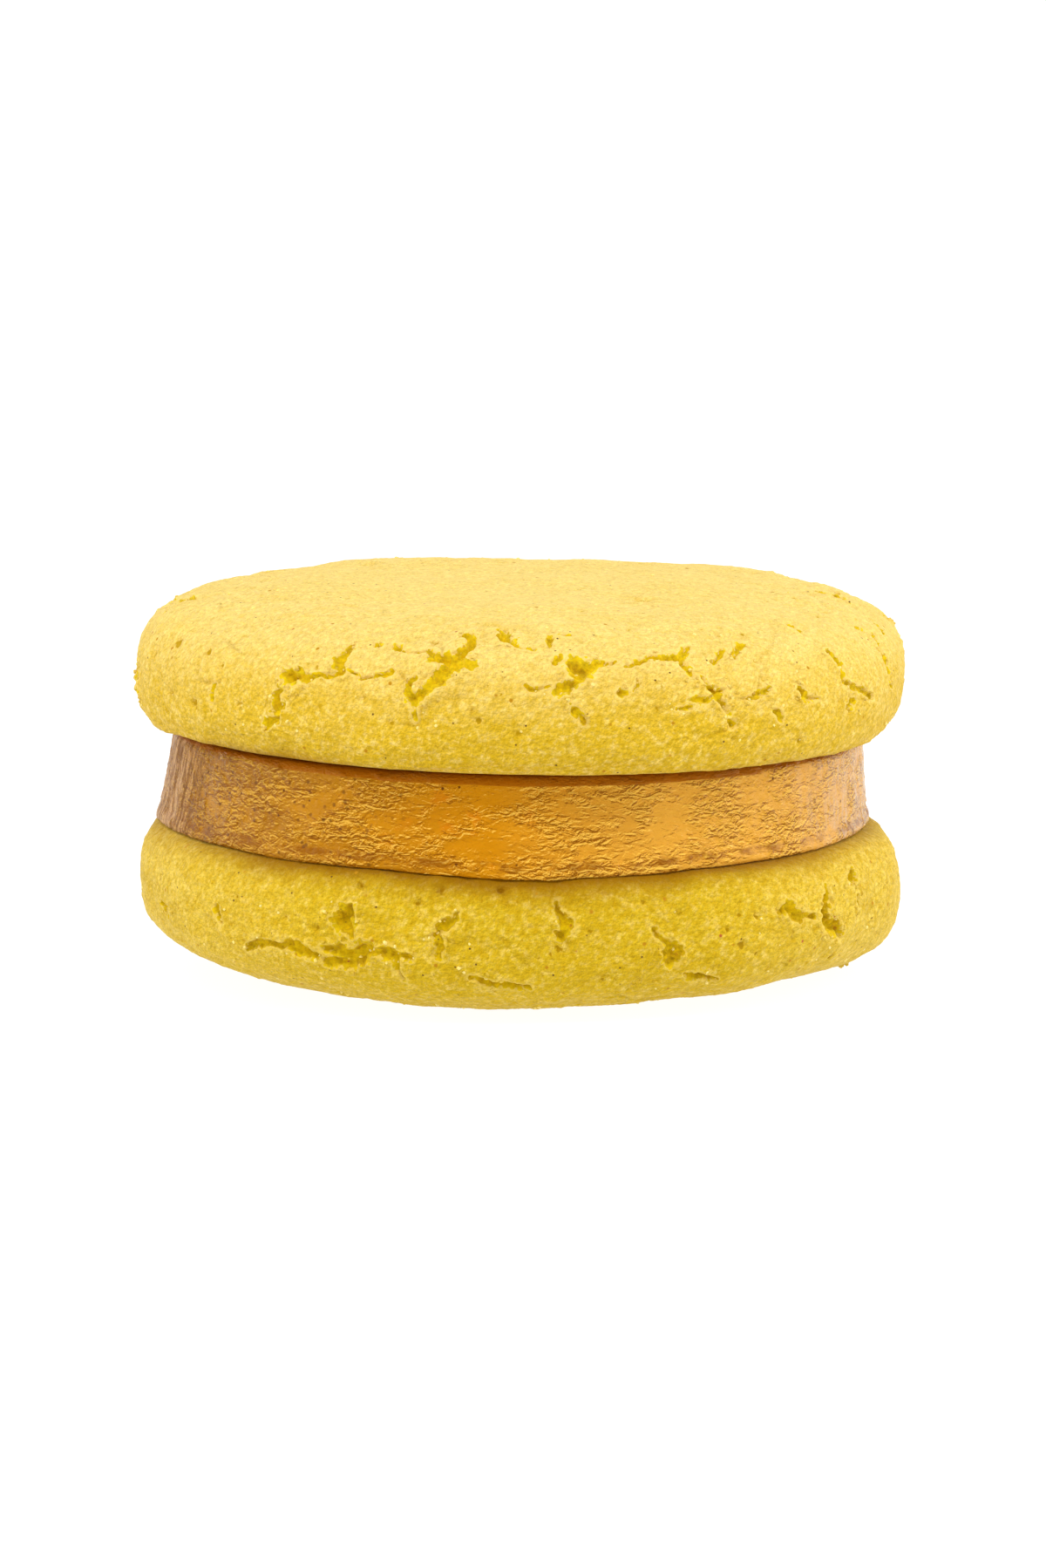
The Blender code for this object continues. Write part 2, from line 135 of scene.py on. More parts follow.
# Cracks that show at the front of the upper cookie: points of (azimuth, rise, width)
UPPER_CRACKS = (
    (
        (-38.5, 4.2, 0.5), (-37, 3.8, 1.4), (-33.5, 4.1, 0.9), (-31.5, 4.2, 0.4), (-29, 4.3, 0.4),
        (-28, 5, 0.7),
    ),
    ((-28, 5, 0.7), (-29, 6.4, 1.0), (-28, 8.5, 0.2)),
    ((-37, 3.8, 1.2), (-37, 2.7, 0.3)),
    (
        (-38, 2.4, 0.3), (-39.3, 1.8, 0.9), (-38.5, 0.7, 1.1), (-38.5, -0.3, 0.3), (-41, -1.5, 0.9),
        (-41.5, -2, 0.4),
    ),
    ((-26.5, 5, 0.2), (-24.2, 4.4, 0.2), (-22.5, 4.8, 0.5), (-20.2, 5.1, 0.6)),
    ((-24.5, 8.5, 0.2), (-24, 8.6, 0.6), (-23.5, 8.7, 0.3)),
    (
        (-21.5, 8.6, 0.2), (-20.5, 8.6, 0.7), (-19.5, 8.2, 0.2), (-15, 7.8, 0.5), (-12, 7, 1.1),
        (-10.5, 6.4, 1.7),
    ),
    ((-10.5, 6.4, 1.6), (-8, 6.2, 0.8), (-7, 6.2, 0.2)),
    ((-9.5, 10.7, 0.9), (-8.2, 9.3, 0.6), (-10, 7.1, 1.2)),
    (
        (-10.5, 6.3, 1.6), (-12.5, 4.6, 0.9), (-13.6, 3.8, 0.6), (-15.5, 2.8, 1.1),
        (-15.5, 1.4, 0.4), (-15.5, 0.7, 0.3),
    ),
    ((-16, 4.7, 0.5), (-16.4, 3.5, 0.6), (-15.8, 2.8, 0.7)),
    ((-4.5, 12.3, 0.5), (-4, 10.7, 0.9), (-3, 9.8, 1.1), (-1, 9, 0.3), (1.2, 9, 0.3)),
    ((4, 11.6, 0.4), (3.8, 10.4, 0.7), (3.6, 9.5, 0.3)),
    ((4.4, 11.6, 0.2), (7.6, 11.3, 0.3)),
    ((4.2, 6.9, 0.2), (5, 7.5, 0.5)),
    ((6.2, 7, 0.3), (7.8, 6.1, 1.7), (9.8, 6.4, 1.1), (11, 6.8, 0.5), (13, 7.1, 0.2)),
    ((8, 5.9, 1), (8, 5, 0.6), (5.5, 4.1, 0.8), (4.4, 3.7, 0.7)),
    ((0, 4.4, 0.3), (1.3, 3.9, 0.5), (3.5, 4.4, 0.2)),
    ((6.8, 2.1, 0.7), (7.1, 1.5, 0.6)),
    ((7.4, 1.8, 0.3), (8, 1.2, 0.5), (8.2, 0.6, 0.3)),
    ((14.5, 6.5, 0.2), (16.5, 7, 0.6), (19.5, 7.7, 0.5), (22.5, 7.9, 0.8), (24, 7.7, 0.6), (26, 9, 0.4)),
    ((24, 7.7, 0.6), (23.6, 6.8, 0.5), (24.8, 5.6, 1), (24.5, 5.2, 0.4)),
    ((26.2, 5, 0.4), (26.5, 4, 0.6), (27.8, 3.5, 1.1), (29, 3.5, 0.4)),
    ((28, 3.3, 0.8), (28.5, 2.4, 0.5), (29.5, 1.4, 0.6), (30, 1, 0.2)),
    ((27, 3, 0.3), (25.5, 2.7, 0.8), (23.5, 2.7, 0.2)),
    ((23.5, 2, 0.3), (21.5, 1.8, 0.2)),
    ((29.8, 0.3, 0.4), (30.4, -0.1, 0.5)),
    ((31.5, 8.2, 0.5), (29, 6.8, 0.5)),
    ((35.5, 8.6, 0.7), (34.2, 7.8, 0.5), (33, 7.4, 0.6)),
    ((33, 2.4, 0.2), (35, 2.8, 0.4), (37, 3.1, 0.6)),
    ((16, 5, 0.3), (16, 4.4, 0.4), (15.2, 3.8, 0.2)),
    ((13, 3.6, 0.3), (14, 3.6, 0.4)),
    ((51.5, 11.4, 0.5), (52, 10.6, 0.6), (52, 8.7, 0.3)),
    ((53.5, 6, 0.7), (54.5, 4.8, 0.7), (54.5, 3, 0.6), (57, 2.1, 0.5), (63, 0.8, 0.5)),
    ((43.4, 2.8, 0.6), (43.8, 2.4, 1.0), (45, 1.9, 0.5), (47, 1.7, 0.3)),
    ((55, 0.2, 0.5), (57.5, 0.8, 0.4)),
    ((38, 0.9, 0.5), (39, 0.2, 0.5)),
    ((-53, 1.6, 0.6), (-53.5, 0, 0.4)),
    ((89, 14.8, 0.5), (88.5, 12.3, 0.8), (86.5, 11.4, 0.6)),
    ((82.5, 8.9, 0.5), (79.5, 6.3, 0.6)),
)

# Cracks that show at the front of the lower cookie, where the dough tore along its lower edge
LOWER_CRACKS = (
    ((-25, -2.8, 0.6), (-25.2, -2.5, 1.0), (-26, -1.6, 1.6), (-25.5, -1, 1.5), (-24.5, 0.3, 0.4)),
    ((-43, 3.3, 0.4), (-40, 2.2, 0.7), (-38, 2, 0.4), (-34.5, 2, 0.9), (-31, 2.4, 0.9), (-30, 2.7, 0.4)),
    ((-29, 1.8, 0.5), (-26, 2, 0.8), (-25, 2.2, 1.1), (-23.2, 1.7, 1.7), (-21.4, 1.5, 0.4)),
    ((-21.4, 1.5, 0.4), (-18.5, 1.6, 1.0), (-15.5, 1.9, 0.4)),
    ((-29.5, 3.1, 0.4), (-28, 3.2, 0.9), (-24.6, 3.1, 0.8), (-23.5, 2.6, 1.2)),
    ((-17.8, 1.8, 0.9), (-17.5, 3.3, 0.5), (-17, 4.3, 0.3)),
    ((-7, 3.8, 0.4), (-4.5, 4.5, 0.8), (1.5, 5, 0.4)),
    (
        (-9, -2.8, 0.3), (-9.8, -2, 0.5), (-11, -1.4, 0.9), (-11.9, -0.8, 0.6), (-11.2, 0.3, 0.5),
        (-11.6, 1.5, 0.6),
    ),
    ((5.4, -4.1, 0.3), (6, -2.6, 0.5), (6.8, -1.6, 0.9), (6, -0.7, 0.7)),
    ((20, -1.1, 0.3), (22, 0.5, 0.6), (23, 1.6, 1.3), (22.8, 2.7, 0.8)),
    ((40.5, -1.6, 0.4), (42.2, -1.8, 1.0), (46, -0.8, 0.6), (48, -0.6, 0.5)),
    ((52, -3.1, 0.5), (51.3, -2, 0.8), (50.6, -1, 0.8), (51.8, 0.3, 1.4), (53.5, 1.3, 1.0), (55, 2.2, 0.3)),
    ((59.5, -4.3, 0.5), (59.5, -3.5, 1.0), (59, -2.9, 0.4)),
    ((60, -1.5, 0.4), (60.2, -0.6, 0.4)),
    ((-65.5, 0.8, 0.4), (-62.5, 1.8, 0.4)),
    ((-49, -0.6, 0.5), (-48, 0.8, 0.4)),
    ((25.5, 4.1, 0.3), (28, 4.6, 0.7), (31, 5, 0.3)),
)

# Round pits, as (azimuth, rise, width)
UPPER_PITS = (
    (-73, 3.6, 1.3), (-67, 5.3, 1.2), (-65.5, 0, 1.2), (-58.5, -0.5, 1.2), (-57, 5.1, 1.0), (-14.5, 9.9, 0.8),
    (5.2, 2.7, 0.5), (-6.5, 0.8, 0.7), (-1.5, 2.4, 0.6), (-3.4, 3.5, 0.5), (-13, 0.6, 0.5), (36.5, 4.3, 0.5),
    (52.8, 1, 0.6), (-88, 18.9, 1.4), (-43, 18.9, 1.4), (-36, 12.9, 0.9), (13, 21, 0.7), (-58, 25.8, 0.9),
    (150, 20, 1.8), (-130, 24, 1.6), (40, 27, 1.5),
)
LOWER_PITS = (
    (6, 0.8, 1.2), (13, 4.2, 1.2), (24, -2.4, 0.9), (33.5, -1.8, 0.6), (36.5, -1.5, 0.7), (34, 1.1, 1.0),
    (31.5, -0.4, 0.8), (-24, -5, 0.9), (-12, -5.1, 1.0), (-3, -5.4, 1.0), (-15, -3.6, 0.8), (65, 1.9, 0.8),
    (18.5, -3.7, 0.6), (-64, 1.3, 1.2), (-40, 22, 1.8), (75, 24, 1.6), (170, 21, 1.8),
)

# Small pits all over the edge, drawn by rule
SMALL_PITS = 110
SMALL_PIT_RISES = (-3.0, 19.0)
SMALL_PIT_WIDTHS = (0.4, 0.8)
PIT_DEPTH_OF_WIDTH = 0.4

# Cracks all round, where the photograph doesn't reach, are drawn by a rule from these
BACK_AZIMUTHS = (72, 292)
BACK_CRACKS = 15
BACK_RISES = (0.0, 12.5)
BACK_LEAST_RISE = -1.5
BACK_STEPS = (2, 4)
BACK_STEP = (2.2, 4.2)
BACK_HEADING = 50
BACK_TURN = 38
BACK_WIDTHS = (0.5, 1.6)
BACK_FORK_RISE = 3.0
BACK_FORK_TURN = 4

# Loose detail above the rise where the flat side ends: sugar grains in patches, and crumbs beside cracks
OPEN_RISE = -3.2
SUGAR_GRAINS = 200
SUGAR_SIZES = (0.14, 0.26)
SUGAR_PATCH = 6.0
SUGAR_LEAST = 0.35
EDGE_CRUMBS = 220
CRUMB_SIZES = (0.14, 0.28)
GRAIN_STRETCH = (0.65, 1.1)
GRAIN_LIFT = (-0.5, 0.15)
GRAIN_JITTER = 0.2

# Painted shadow on the dough beside the jelly: its reach, the rises where it fades, and how far out it is
# painted less
JELLY_SHADOW_REACH = 2.4
JELLY_SHADOW_RISES = (-3.5, -2.0)
JELLY_SHADOW_LESS = (24, 36)

# Jelly disc: the rounding of its top edge as (inset, drop, wall) and of its foot as (inset, height, wall)
JELLY_AROUND = 1150
JELLY_ROWS = 52
JELLY_SEAT = 0.08
JELLY_HEADROOM = 0.3
JELLY_TOP_EDGE = ((8.0, 0, 0), (1.6, 0, 0.2), (0.9, 0.03, 0.4), (0.35, 0.22, 0.7), (0, 0.8, 1))
JELLY_FOOT_EDGE = (
    (0.45, 1.45, 1), (0.36, 1.25, 0.9), (0.2, 1.06, 0.8), (0.06, 0.85, 0.7), (0, 0.62, 0.7), (0, 0.4, 0.6),
    (0.08, 0.18, 0.5), (0.25, 0.03, 0.3), (0.6, 0, 0.1), (2.4, 0, 0), (9.0, 0, 0),
)

# Wrinkles of its wall, as (size, height), and the top share of it that gets a painted shadow under the upper
# cookie
WRINKLES = ((2.6, 0.085), (1.1, 0.05), (0.5, 0.028))
WRINKLE_FLATNESS = 2.4
LOW_WRINKLES = (2.5, 7.0)
UPRIGHT_WRINKLES = (1.1, 0.12)
UPRIGHT_FLATNESS = 0.12
UPRIGHT_FROM = (0.86, 0.97)
WALL_WAVES = (9.0, 0.16)
SHADOW_BAND_FROM = 0.885
SHADOW_BAND_THINS = 0.045

# Colours of the dough, and the rises between which the crown's tone comes in; the upper crown's paler tone is
# partly the dough's own and partly painted sheen
CROWN_TONE_RISES = (-2.0, 9.0)
UPPER_TONES = dict(
    side=(0.66, 0.43, 0.028, 1.0), crown=(0.77, 0.55, 0.15, 1.0), pale=(0.84, 0.63, 0.19, 1.0),
    warm=(0.54, 0.33, 0.004, 1.0), crack=(0.66, 0.47, 0.001, 1.0), deep=(0.71, 0.485, 0.001, 1.0),
    painted_jelly_shadow=(0.30, 0.12, 0.001, 1.0), pit=(0.46, 0.27, 0.003, 1.0),
)
LOWER_TONES = dict(
    side=(0.60, 0.405, 0.018, 1.0), crown=(0.61, 0.40, 0.012, 1.0), pale=(0.79, 0.58, 0.13, 1.0),
    warm=(0.50, 0.30, 0.003, 1.0), crack=(0.60, 0.41, 0.002, 1.0), deep=(0.62, 0.41, 0.001, 1.0),
    painted_jelly_shadow=(0.25, 0.10, 0.001, 1.0), pit=(0.38, 0.21, 0.002, 1.0),
)
# Painted sheen towards both ends of each cookie: the distances across where it starts and reaches full
# strength, in millimetres, and its strength on each cookie
PAINTED_SHEEN_ENDS = (20.0, 38.0)
UPPER_PAINTED_END_SHEEN = 0.12
LOWER_PAINTED_END_SHEEN = 0.4
SUGAR_TONES = ((0.82, 0.60, 0.12, 1.0), (0.88, 0.70, 0.24, 1.0))

# Specks in the dough, as (cell, reach, share of the cells without one, colour)
DOUGH_SPECKS = (
    (1.9, 0.075, 0.25, (0.12, 0.055, 0.015, 1.0)),
    (2.5, 0.1, 0.3, (0.46, 0.22, 0.01, 1.0)),
    (4.6, 0.045, 0.3, (0.42, 0.11, 0.03, 1.0)),
)

# Colours of the jelly, where glint is a painted highlight and crease a painted shade, and painted highlight
# and shade lines round its foot, as (from, to, colour, strength) in shares of its height
JELLY_TONES = dict(
    amber=(0.33, 0.125, 0.004, 1.0), gold=(0.44, 0.185, 0.006, 1.0), orange=(0.61, 0.235, 0.001, 1.0),
    light=(0.78, 0.385, 0.045, 1.0), crease=(0.25, 0.075, 0.002, 1.0), glint=(0.92, 0.55, 0.08, 1.0),
    ember=(0.74, 0.16, 0.004, 1.0),
    painted_reflection=(0.67, 0.42, 0.23, 1.0), brown=(0.17, 0.055, 0.002, 1.0), fleck=(0.14, 0.04, 0.004, 1.0),
    hidden=(0.36, 0.10, 0.001, 1.0),
)
FOOT_LINES = ((0.02, 0.1, "glint", 0.05), (0.08, 0.17, "crease", 0.8))
FOOT_LINE_SOFT = 0.03

# Studio: a light table glows white under a white surround
FLOOR_SIDE = 9.0
FLOOR_TONE = (0.15, 0.17)
FLOOR_GLOW = 0.93
SURROUND = 1.0

# Lights, as (name, place, size, watts) in metres, and where they aim
LIGHT_AIM = (0, 0, 0.02)
LIGHTS = (
    ("key_above", (0.0, -0.4, 0.62), (0.16, 0.16), 1.7),
    ("low_glint_left", (-0.28, -0.7, 0.2), (0.05, 0.05), 0.1),
    ("low_glint_right", (0.28, -0.7, 0.2), (0.05, 0.05), 0.12),
    ("left_panel", (-0.7, -0.05, 0.2), (0.2, 0.5), 1.3),
    ("right_panel", (0.7, 0.1, 0.2), (0.3, 0.5), 2.2),
)

# Camera: its height angle, its distance from the aim, and the photograph's scale there
CAMERA_ELEVATION = 9.3
CAMERA_DISTANCE = 720.0
AIM_HEIGHT = 20.0
PIXELS_PER_MM = 884 / 80
PHOTO_HEIGHT = 1799
AIM_BELOW_MIDDLE = -18


class Cookie:
    """A cookie in its own frame, with the dome towards +Z. mirror is -1 where it is turned over."""

    def __init__(self, name, radius, dome, flat, section, mirror, seed, plan, swells):
        self.name, self.mirror, self.seed, self.plan, self.swells = name, mirror, seed, plan, swells
        angle = np.linspace(-math.pi / 2, math.pi / 2, SECTION_STEPS)
        across, along = np.abs(np.cos(angle)), np.abs(np.sin(angle))
        wide, high = section["dome_edge"]
        corner, edge = section["corner"], section["corner_edge"]
        domed = angle >= 0
        dome_radius = radius * across ** (2 / wide)
        corner_radius = radius - corner * (1 - across ** (2 / edge))
        edge_radius = np.where(domed, dome_radius, corner_radius)
        edge_height = np.where(domed, dome * along ** (2 / high), -flat * along ** (2 / edge))
        inner = np.linspace(0, edge_radius[0], FLAT_STEPS, endpoint=False)
        self.r = np.concatenate([inner, edge_radius])
        self.h = np.concatenate([np.full(FLAT_STEPS, edge_height[0]), edge_height])
        steps = np.hypot(np.diff(self.r), np.diff(self.h))
        self.arc = np.concatenate([[0.0], np.cumsum(steps)])
        self.arc -= self.arc[FLAT_STEPS + SECTION_STEPS // 2]
        number = np.arange(len(steps))
        weight = np.where(number < FLAT_STEPS, FLAT_SIDE_WEIGHT, 1.0)
        weight[(number > FLAT_STEPS) & (self.h[1:] > 0) & (self.r[1:] < CROWN_RADIUS)] = CROWN_WEIGHT
        rings = steps * (self.r[1:] + self.r[:-1]) * weight
        self.share = np.concatenate([[0.0], np.cumsum(rings)]) / rings.sum()
        self.normal_r, self.normal_h = np.gradient(self.h, self.arc), -np.gradient(self.r, self.arc)

    def skin(self, azimuth, rise):
        """Points of the smooth skin and the ways out of it there."""
        angle = np.radians(azimuth) * self.mirror
        swell = 1.0 + sum(
            amount * np.cos(count * (np.radians(azimuth) - math.radians(start)))
            for count, amount, start in self.plan
        )
        radius = np.interp(rise, self.arc, self.r) * swell
        out = np.interp(rise, self.arc, self.normal_r)
        up = np.interp(rise, self.arc, self.normal_h)
        around = np.sin(angle), -np.cos(angle)
        points = np.stack([radius * around[0], radius * around[1], np.interp(rise, self.arc, self.h)], -1)
        normals = np.stack([out * around[0], out * around[1], up], -1)
        return points, normals / np.linalg.norm(normals, axis=-1, keepdims=True)


def ragged(points, seed):
    """A crack's path with closely spaced points that wander to either side, in (azimuth, rise, width)."""
    points = np.array(points, float)
    sideways = np.diff(points[:, 0]) * math.radians(1) * UPPER_RADIUS * 0.95
    along = np.concatenate([[0.0], np.cumsum(np.hypot(sideways, np.diff(points[:, 1])))])
    count = max(3, int(along[-1] / CRACK_SPACING) + 1)
    at = np.linspace(0, along[-1], count)
    rows = np.stack([np.interp(at, along, points[:, column]) for column in range(3)], -1)
    for i in range(1, count - 1):
        place = Vector((at[i] * 0.6, seed * 7.3, 0.0))
        rows[i, 0] += math.degrees(CRACK_WANDER * 2 * noise.noise(place) / UPPER_RADIUS)
        rows[i, 1] += CRACK_WANDER * 2 * noise.noise(place + Vector((0.0, 0.0, 9.0)))
        rows[i, 2] *= 1.0 + 0.5 * noise.noise(place + Vector((0.0, 0.0, 23.0)))
    return rows


def back_cracks(seed):
    """Cracks round the sides and back, each a short walk with a branch."""
    draw = random.Random(seed)
    found = []
    for i in range(BACK_CRACKS):
        first, last = BACK_AZIMUTHS
        azimuth = first + (last - first) * (i + draw.random() * 0.8) / BACK_CRACKS
        rise = draw.uniform(*BACK_RISES)
        heading = draw.choice((0, 180)) + draw.uniform(-BACK_HEADING, BACK_HEADING)
        path = [(azimuth, rise, 0.3)]
        for step in range(draw.randint(*BACK_STEPS)):
            heading += draw.uniform(-BACK_TURN, BACK_TURN)
            stride = draw.uniform(*BACK_STEP)
            azimuth += math.degrees(stride * math.cos(math.radians(heading)) / UPPER_RADIUS)
            rise = max(rise + stride * math.sin(math.radians(heading)) * 0.8, BACK_LEAST_RISE)
            path.append((azimuth, rise, draw.uniform(*BACK_WIDTHS)))
        path[-1] = (path[-1][0], path[-1][1], 0.4)
        found.append(path)
        fork = path[1]
        end = max(fork[1] + draw.choice((-1, 1)) * BACK_FORK_RISE, BACK_LEAST_RISE)
        aside = fork[0] + draw.uniform(-BACK_FORK_TURN, BACK_FORK_TURN)
        bend = (fork[0] * 0.75 + aside * 0.25 + 1.2, (fork[1] + end) / 2, 0.7)
        found.append([fork, bend, (aside, end, 0.3)])
    return found


def swelling(cookie, points):
    """How far the broad swells lift each point."""
    lift = np.zeros(len(points))
    for azimuth, rise, reach, height in cookie.swells:
        middle, _ = cookie.skin(np.array(azimuth, float), np.array(rise, float))
        distance = np.linalg.norm(points - middle, axis=1) / reach
        lift += height * np.exp(-distance * distance * 2)
    return lift


def smooth_step(low, high, value):
    share = np.clip((value - low) / (high - low), 0.0, 1.0)
    return share * share * (3 - 2 * share)


def noise_at(points, size, seed):
    """Smooth noise of about -1 to 1 at each point, with features of that size."""
    offset = Vector((seed * 3.7, seed * 1.9, seed * 5.3))
    return np.array([noise.noise(Vector(point) / size + offset) for point in points])


def cells_at(points, size, seed):
    """Distance to the nearest and the second nearest cell point, in cells."""
    offset = Vector((seed * 2.3, seed * 4.1, seed * 0.7))
    found = [noise.voronoi(Vector(point) / size + offset)[0][:2] for point in points]
    return np.array(found).T


def small_pits(seed):
    """Small pits that speckle the edge of a cookie, by rule."""
    draw = random.Random(seed)
    return tuple(
        (draw.uniform(-180, 180), draw.uniform(*SMALL_PIT_RISES), draw.uniform(*SMALL_PIT_WIDTHS))
        for number in range(SMALL_PITS)
    )


def crack_relief(cookie, points, cracks, fray):
    """How deep each point lies in a crack, how far inside its torn edge, and how near a lip (0 to 1)."""
    sunk, rim = np.zeros(len(points)), np.zeros(len(points))
    torn = np.full(len(points), -1.0)
    for number, crack in enumerate(cracks):
        rows = ragged(crack, cookie.seed + number)
        line, _ = cookie.skin(rows[:, 0], rows[:, 1])
        reach = rows[:, 2].max() + 3 * LIP_REACH
        near = np.flatnonzero(((points > line.min(0) - reach) & (points < line.max(0) + reach)).all(1))
        for i in range(len(line) - 1):
            way = line[i + 1] - line[i]
            offset = points[near] - line[i]
            share = np.clip(offset @ way / (way @ way + 1e-12), 0, 1)
            distance = np.linalg.norm(offset - share[:, None] * way, axis=1)
            width = rows[i, 2] + share * (rows[i + 1, 2] - rows[i, 2])
            half = np.maximum(width / 2 * CRACK_OPENING, CRACK_LEAST_HALF_WIDTH)
            inside = half - distance - fray[near] * np.minimum(width, CRACK_FRAY_MOST)
            depth = np.minimum(CRACK_DEPTH_OF_WIDTH * width + CRACK_LEAST_DEPTH, CRACK_MOST_DEPTH)
            wall = np.maximum(CRACK_WALL * half, CRACK_WALL_LEAST)
            sunk[near] = np.maximum(sunk[near], depth * smooth_step(-0.06, wall, inside))
            torn[near] = np.maximum(torn[near], inside)
            edge = np.maximum(-inside, 0) / LIP_REACH
            lip = np.minimum(width, LIP_FULL_WIDTH) / LIP_FULL_WIDTH * np.exp(-edge * edge)
            rim[near] = np.maximum(rim[near], lip)
    return sunk, torn, rim


def pit_relief(cookie, points, pits, fray):
    """How far each point sinks into a round pit, and how far inside the pit's edge it lies."""
    sunk, torn = np.zeros(len(points)), np.full(len(points), -1.0)
    for azimuth, rise, width in pits:
        middle, _ = cookie.skin(np.array(azimuth, float), np.array(rise, float))
        near = np.flatnonzero((np.abs(points - middle) < width * 1.5).all(1))
        distance = np.linalg.norm(points[near] - middle, axis=1) + fray[near] * width * 0.7
        share = distance / (width * 0.7)
        sunk[near] = np.maximum(sunk[near], PIT_DEPTH_OF_WIDTH * width * np.exp(-share * share * 2))
        torn[near] = np.maximum(torn[near], width * 0.4 - distance)
    return sunk, torn


def wrapped_cube():
    """A cube with a fine grid on each side, its points pushed out evenly onto a ball of radius 1."""
    grid = bmesh.new()
    bmesh.ops.create_cube(grid, size=2.0)
    bmesh.ops.subdivide_edges(grid, edges=grid.edges[:], cuts=CUBE_CELLS - 1, use_grid_fill=True)
    for vertex in grid.verts:
        even = Vector(math.tan(value * math.pi / 4) for value in vertex.co)
        vertex.co = even.normalized()
    return grid


def unwrapped(cookie, grid):
    """Azimuth and rise of each point of the wrapped cube."""
    directions = np.array([vertex.co for vertex in grid.verts])
    directions /= np.linalg.norm(directions, axis=1, keepdims=True)
    azimuth = np.arctan2(directions[:, 0] * cookie.mirror, -directions[:, 1])
    azimuth = np.degrees(azimuth - FRONT_SHARE * np.sin(azimuth))
    return azimuth, np.interp((directions[:, 2] + 1) / 2, cookie.share, cookie.arc)


def cut_finer(cookie, grid, cracks, pits):
    """Cuts the cells along the cracks, and those round the pits in front, into smaller ones."""
    azimuth, rise = unwrapped(cookie, grid)
    points, _ = cookie.skin(azimuth, rise)
    smooth = np.zeros(len(points))
    near_crack = crack_relief(cookie, points, cracks, smooth)[1] > TORN_NEAR
    in_pit = pit_relief(cookie, points, pits, smooth)[1]
    near_pit = (in_pit > TORN_NEAR / 2) & (np.abs(azimuth) < TORN_FRONT)
    torn = near_crack | near_pit
    cut = [face for face in grid.faces if any(torn[vertex.index] for vertex in face.verts)]
    edges = sorted({edge for face in cut for edge in face.edges}, key=lambda edge: edge.index)
    bmesh.ops.subdivide_edges(grid, edges=edges, cuts=TORN_CUTS, use_grid_fill=True)
    bmesh.ops.triangulate(grid, faces=[face for face in grid.faces if len(face.verts) > 4])
    grid.verts.index_update()


def set_values(mesh, name, values):
    """A number at each vertex, for the material to read."""
    made = mesh.attributes.new(name, "FLOAT", "POINT")
    made.data.foreach_set("value", np.asarray(values, np.float32))


def lumps_at(cookie, points):
    """The broad lumps, as on the solid."""
    offset = Vector((cookie.seed, 0, 0))
    lumps = np.zeros(len(points))
    for size, height in LUMPS:
        lumps += height * np.array([noise.noise(Vector(point) / size + offset) for point in points])
    return lumps


def rim_bits(cookie, points, rise):
    """Bits that stand out along the edge of the flat side."""
    size, height = RIM_BITS
    bits = height * noise_at(points, size, cookie.seed + 41)
    return bits * smooth_step(*RIM_BITS_START, rise) * (1 - smooth_step(*RIM_BITS_END, rise))


def sandy_grain(cookie, points, rise, rim, sunk):
    """Granules and grain of the dough, rougher along the torn edges and calmer on the crown."""
    granules = GRANULES[1] * (0.5 - cells_at(points, GRANULES[0], cookie.seed)[0])
    grain = sum(height * noise_at(points, size, cookie.seed + 31) for size, height in GRAIN)
    patches = smooth_step(-0.2, 0.35, noise_at(points, ROUGH_PATCH, cookie.seed + 17))
    rough = ROUGH_LEAST + (1 - ROUGH_LEAST) * patches
    rough = rough * (1 - CALM_CROWN * smooth_step(*CALM_CROWN_RISES, rise))
    rough = rough + rim + ROUGH_IN_CRACKS * smooth_step(0.1, 0.8, sunk)
    return (granules + grain) * rough


def creases(cookie, points, rise):
    """1 in the middle of the fine creases, which follow the borders of wide cells in patches."""
    warp_size, warp = CREASE_WARP
    warped = points + noise_at(points, warp_size, cookie.seed + 3)[:, None] * warp
    nearest, second = cells_at(warped, CREASE_CELL, cookie.seed + 2)
    crease = 1 - smooth_step(0, CREASE_WIDTH, second - nearest)
    crease *= smooth_step(0.0, 0.3, noise_at(points, CREASE_PATCH, cookie.seed + 8))
    crease *= smooth_step(*CREASE_START, rise) * (1 - 0.8 * smooth_step(*CREASE_END, rise))
    return crease


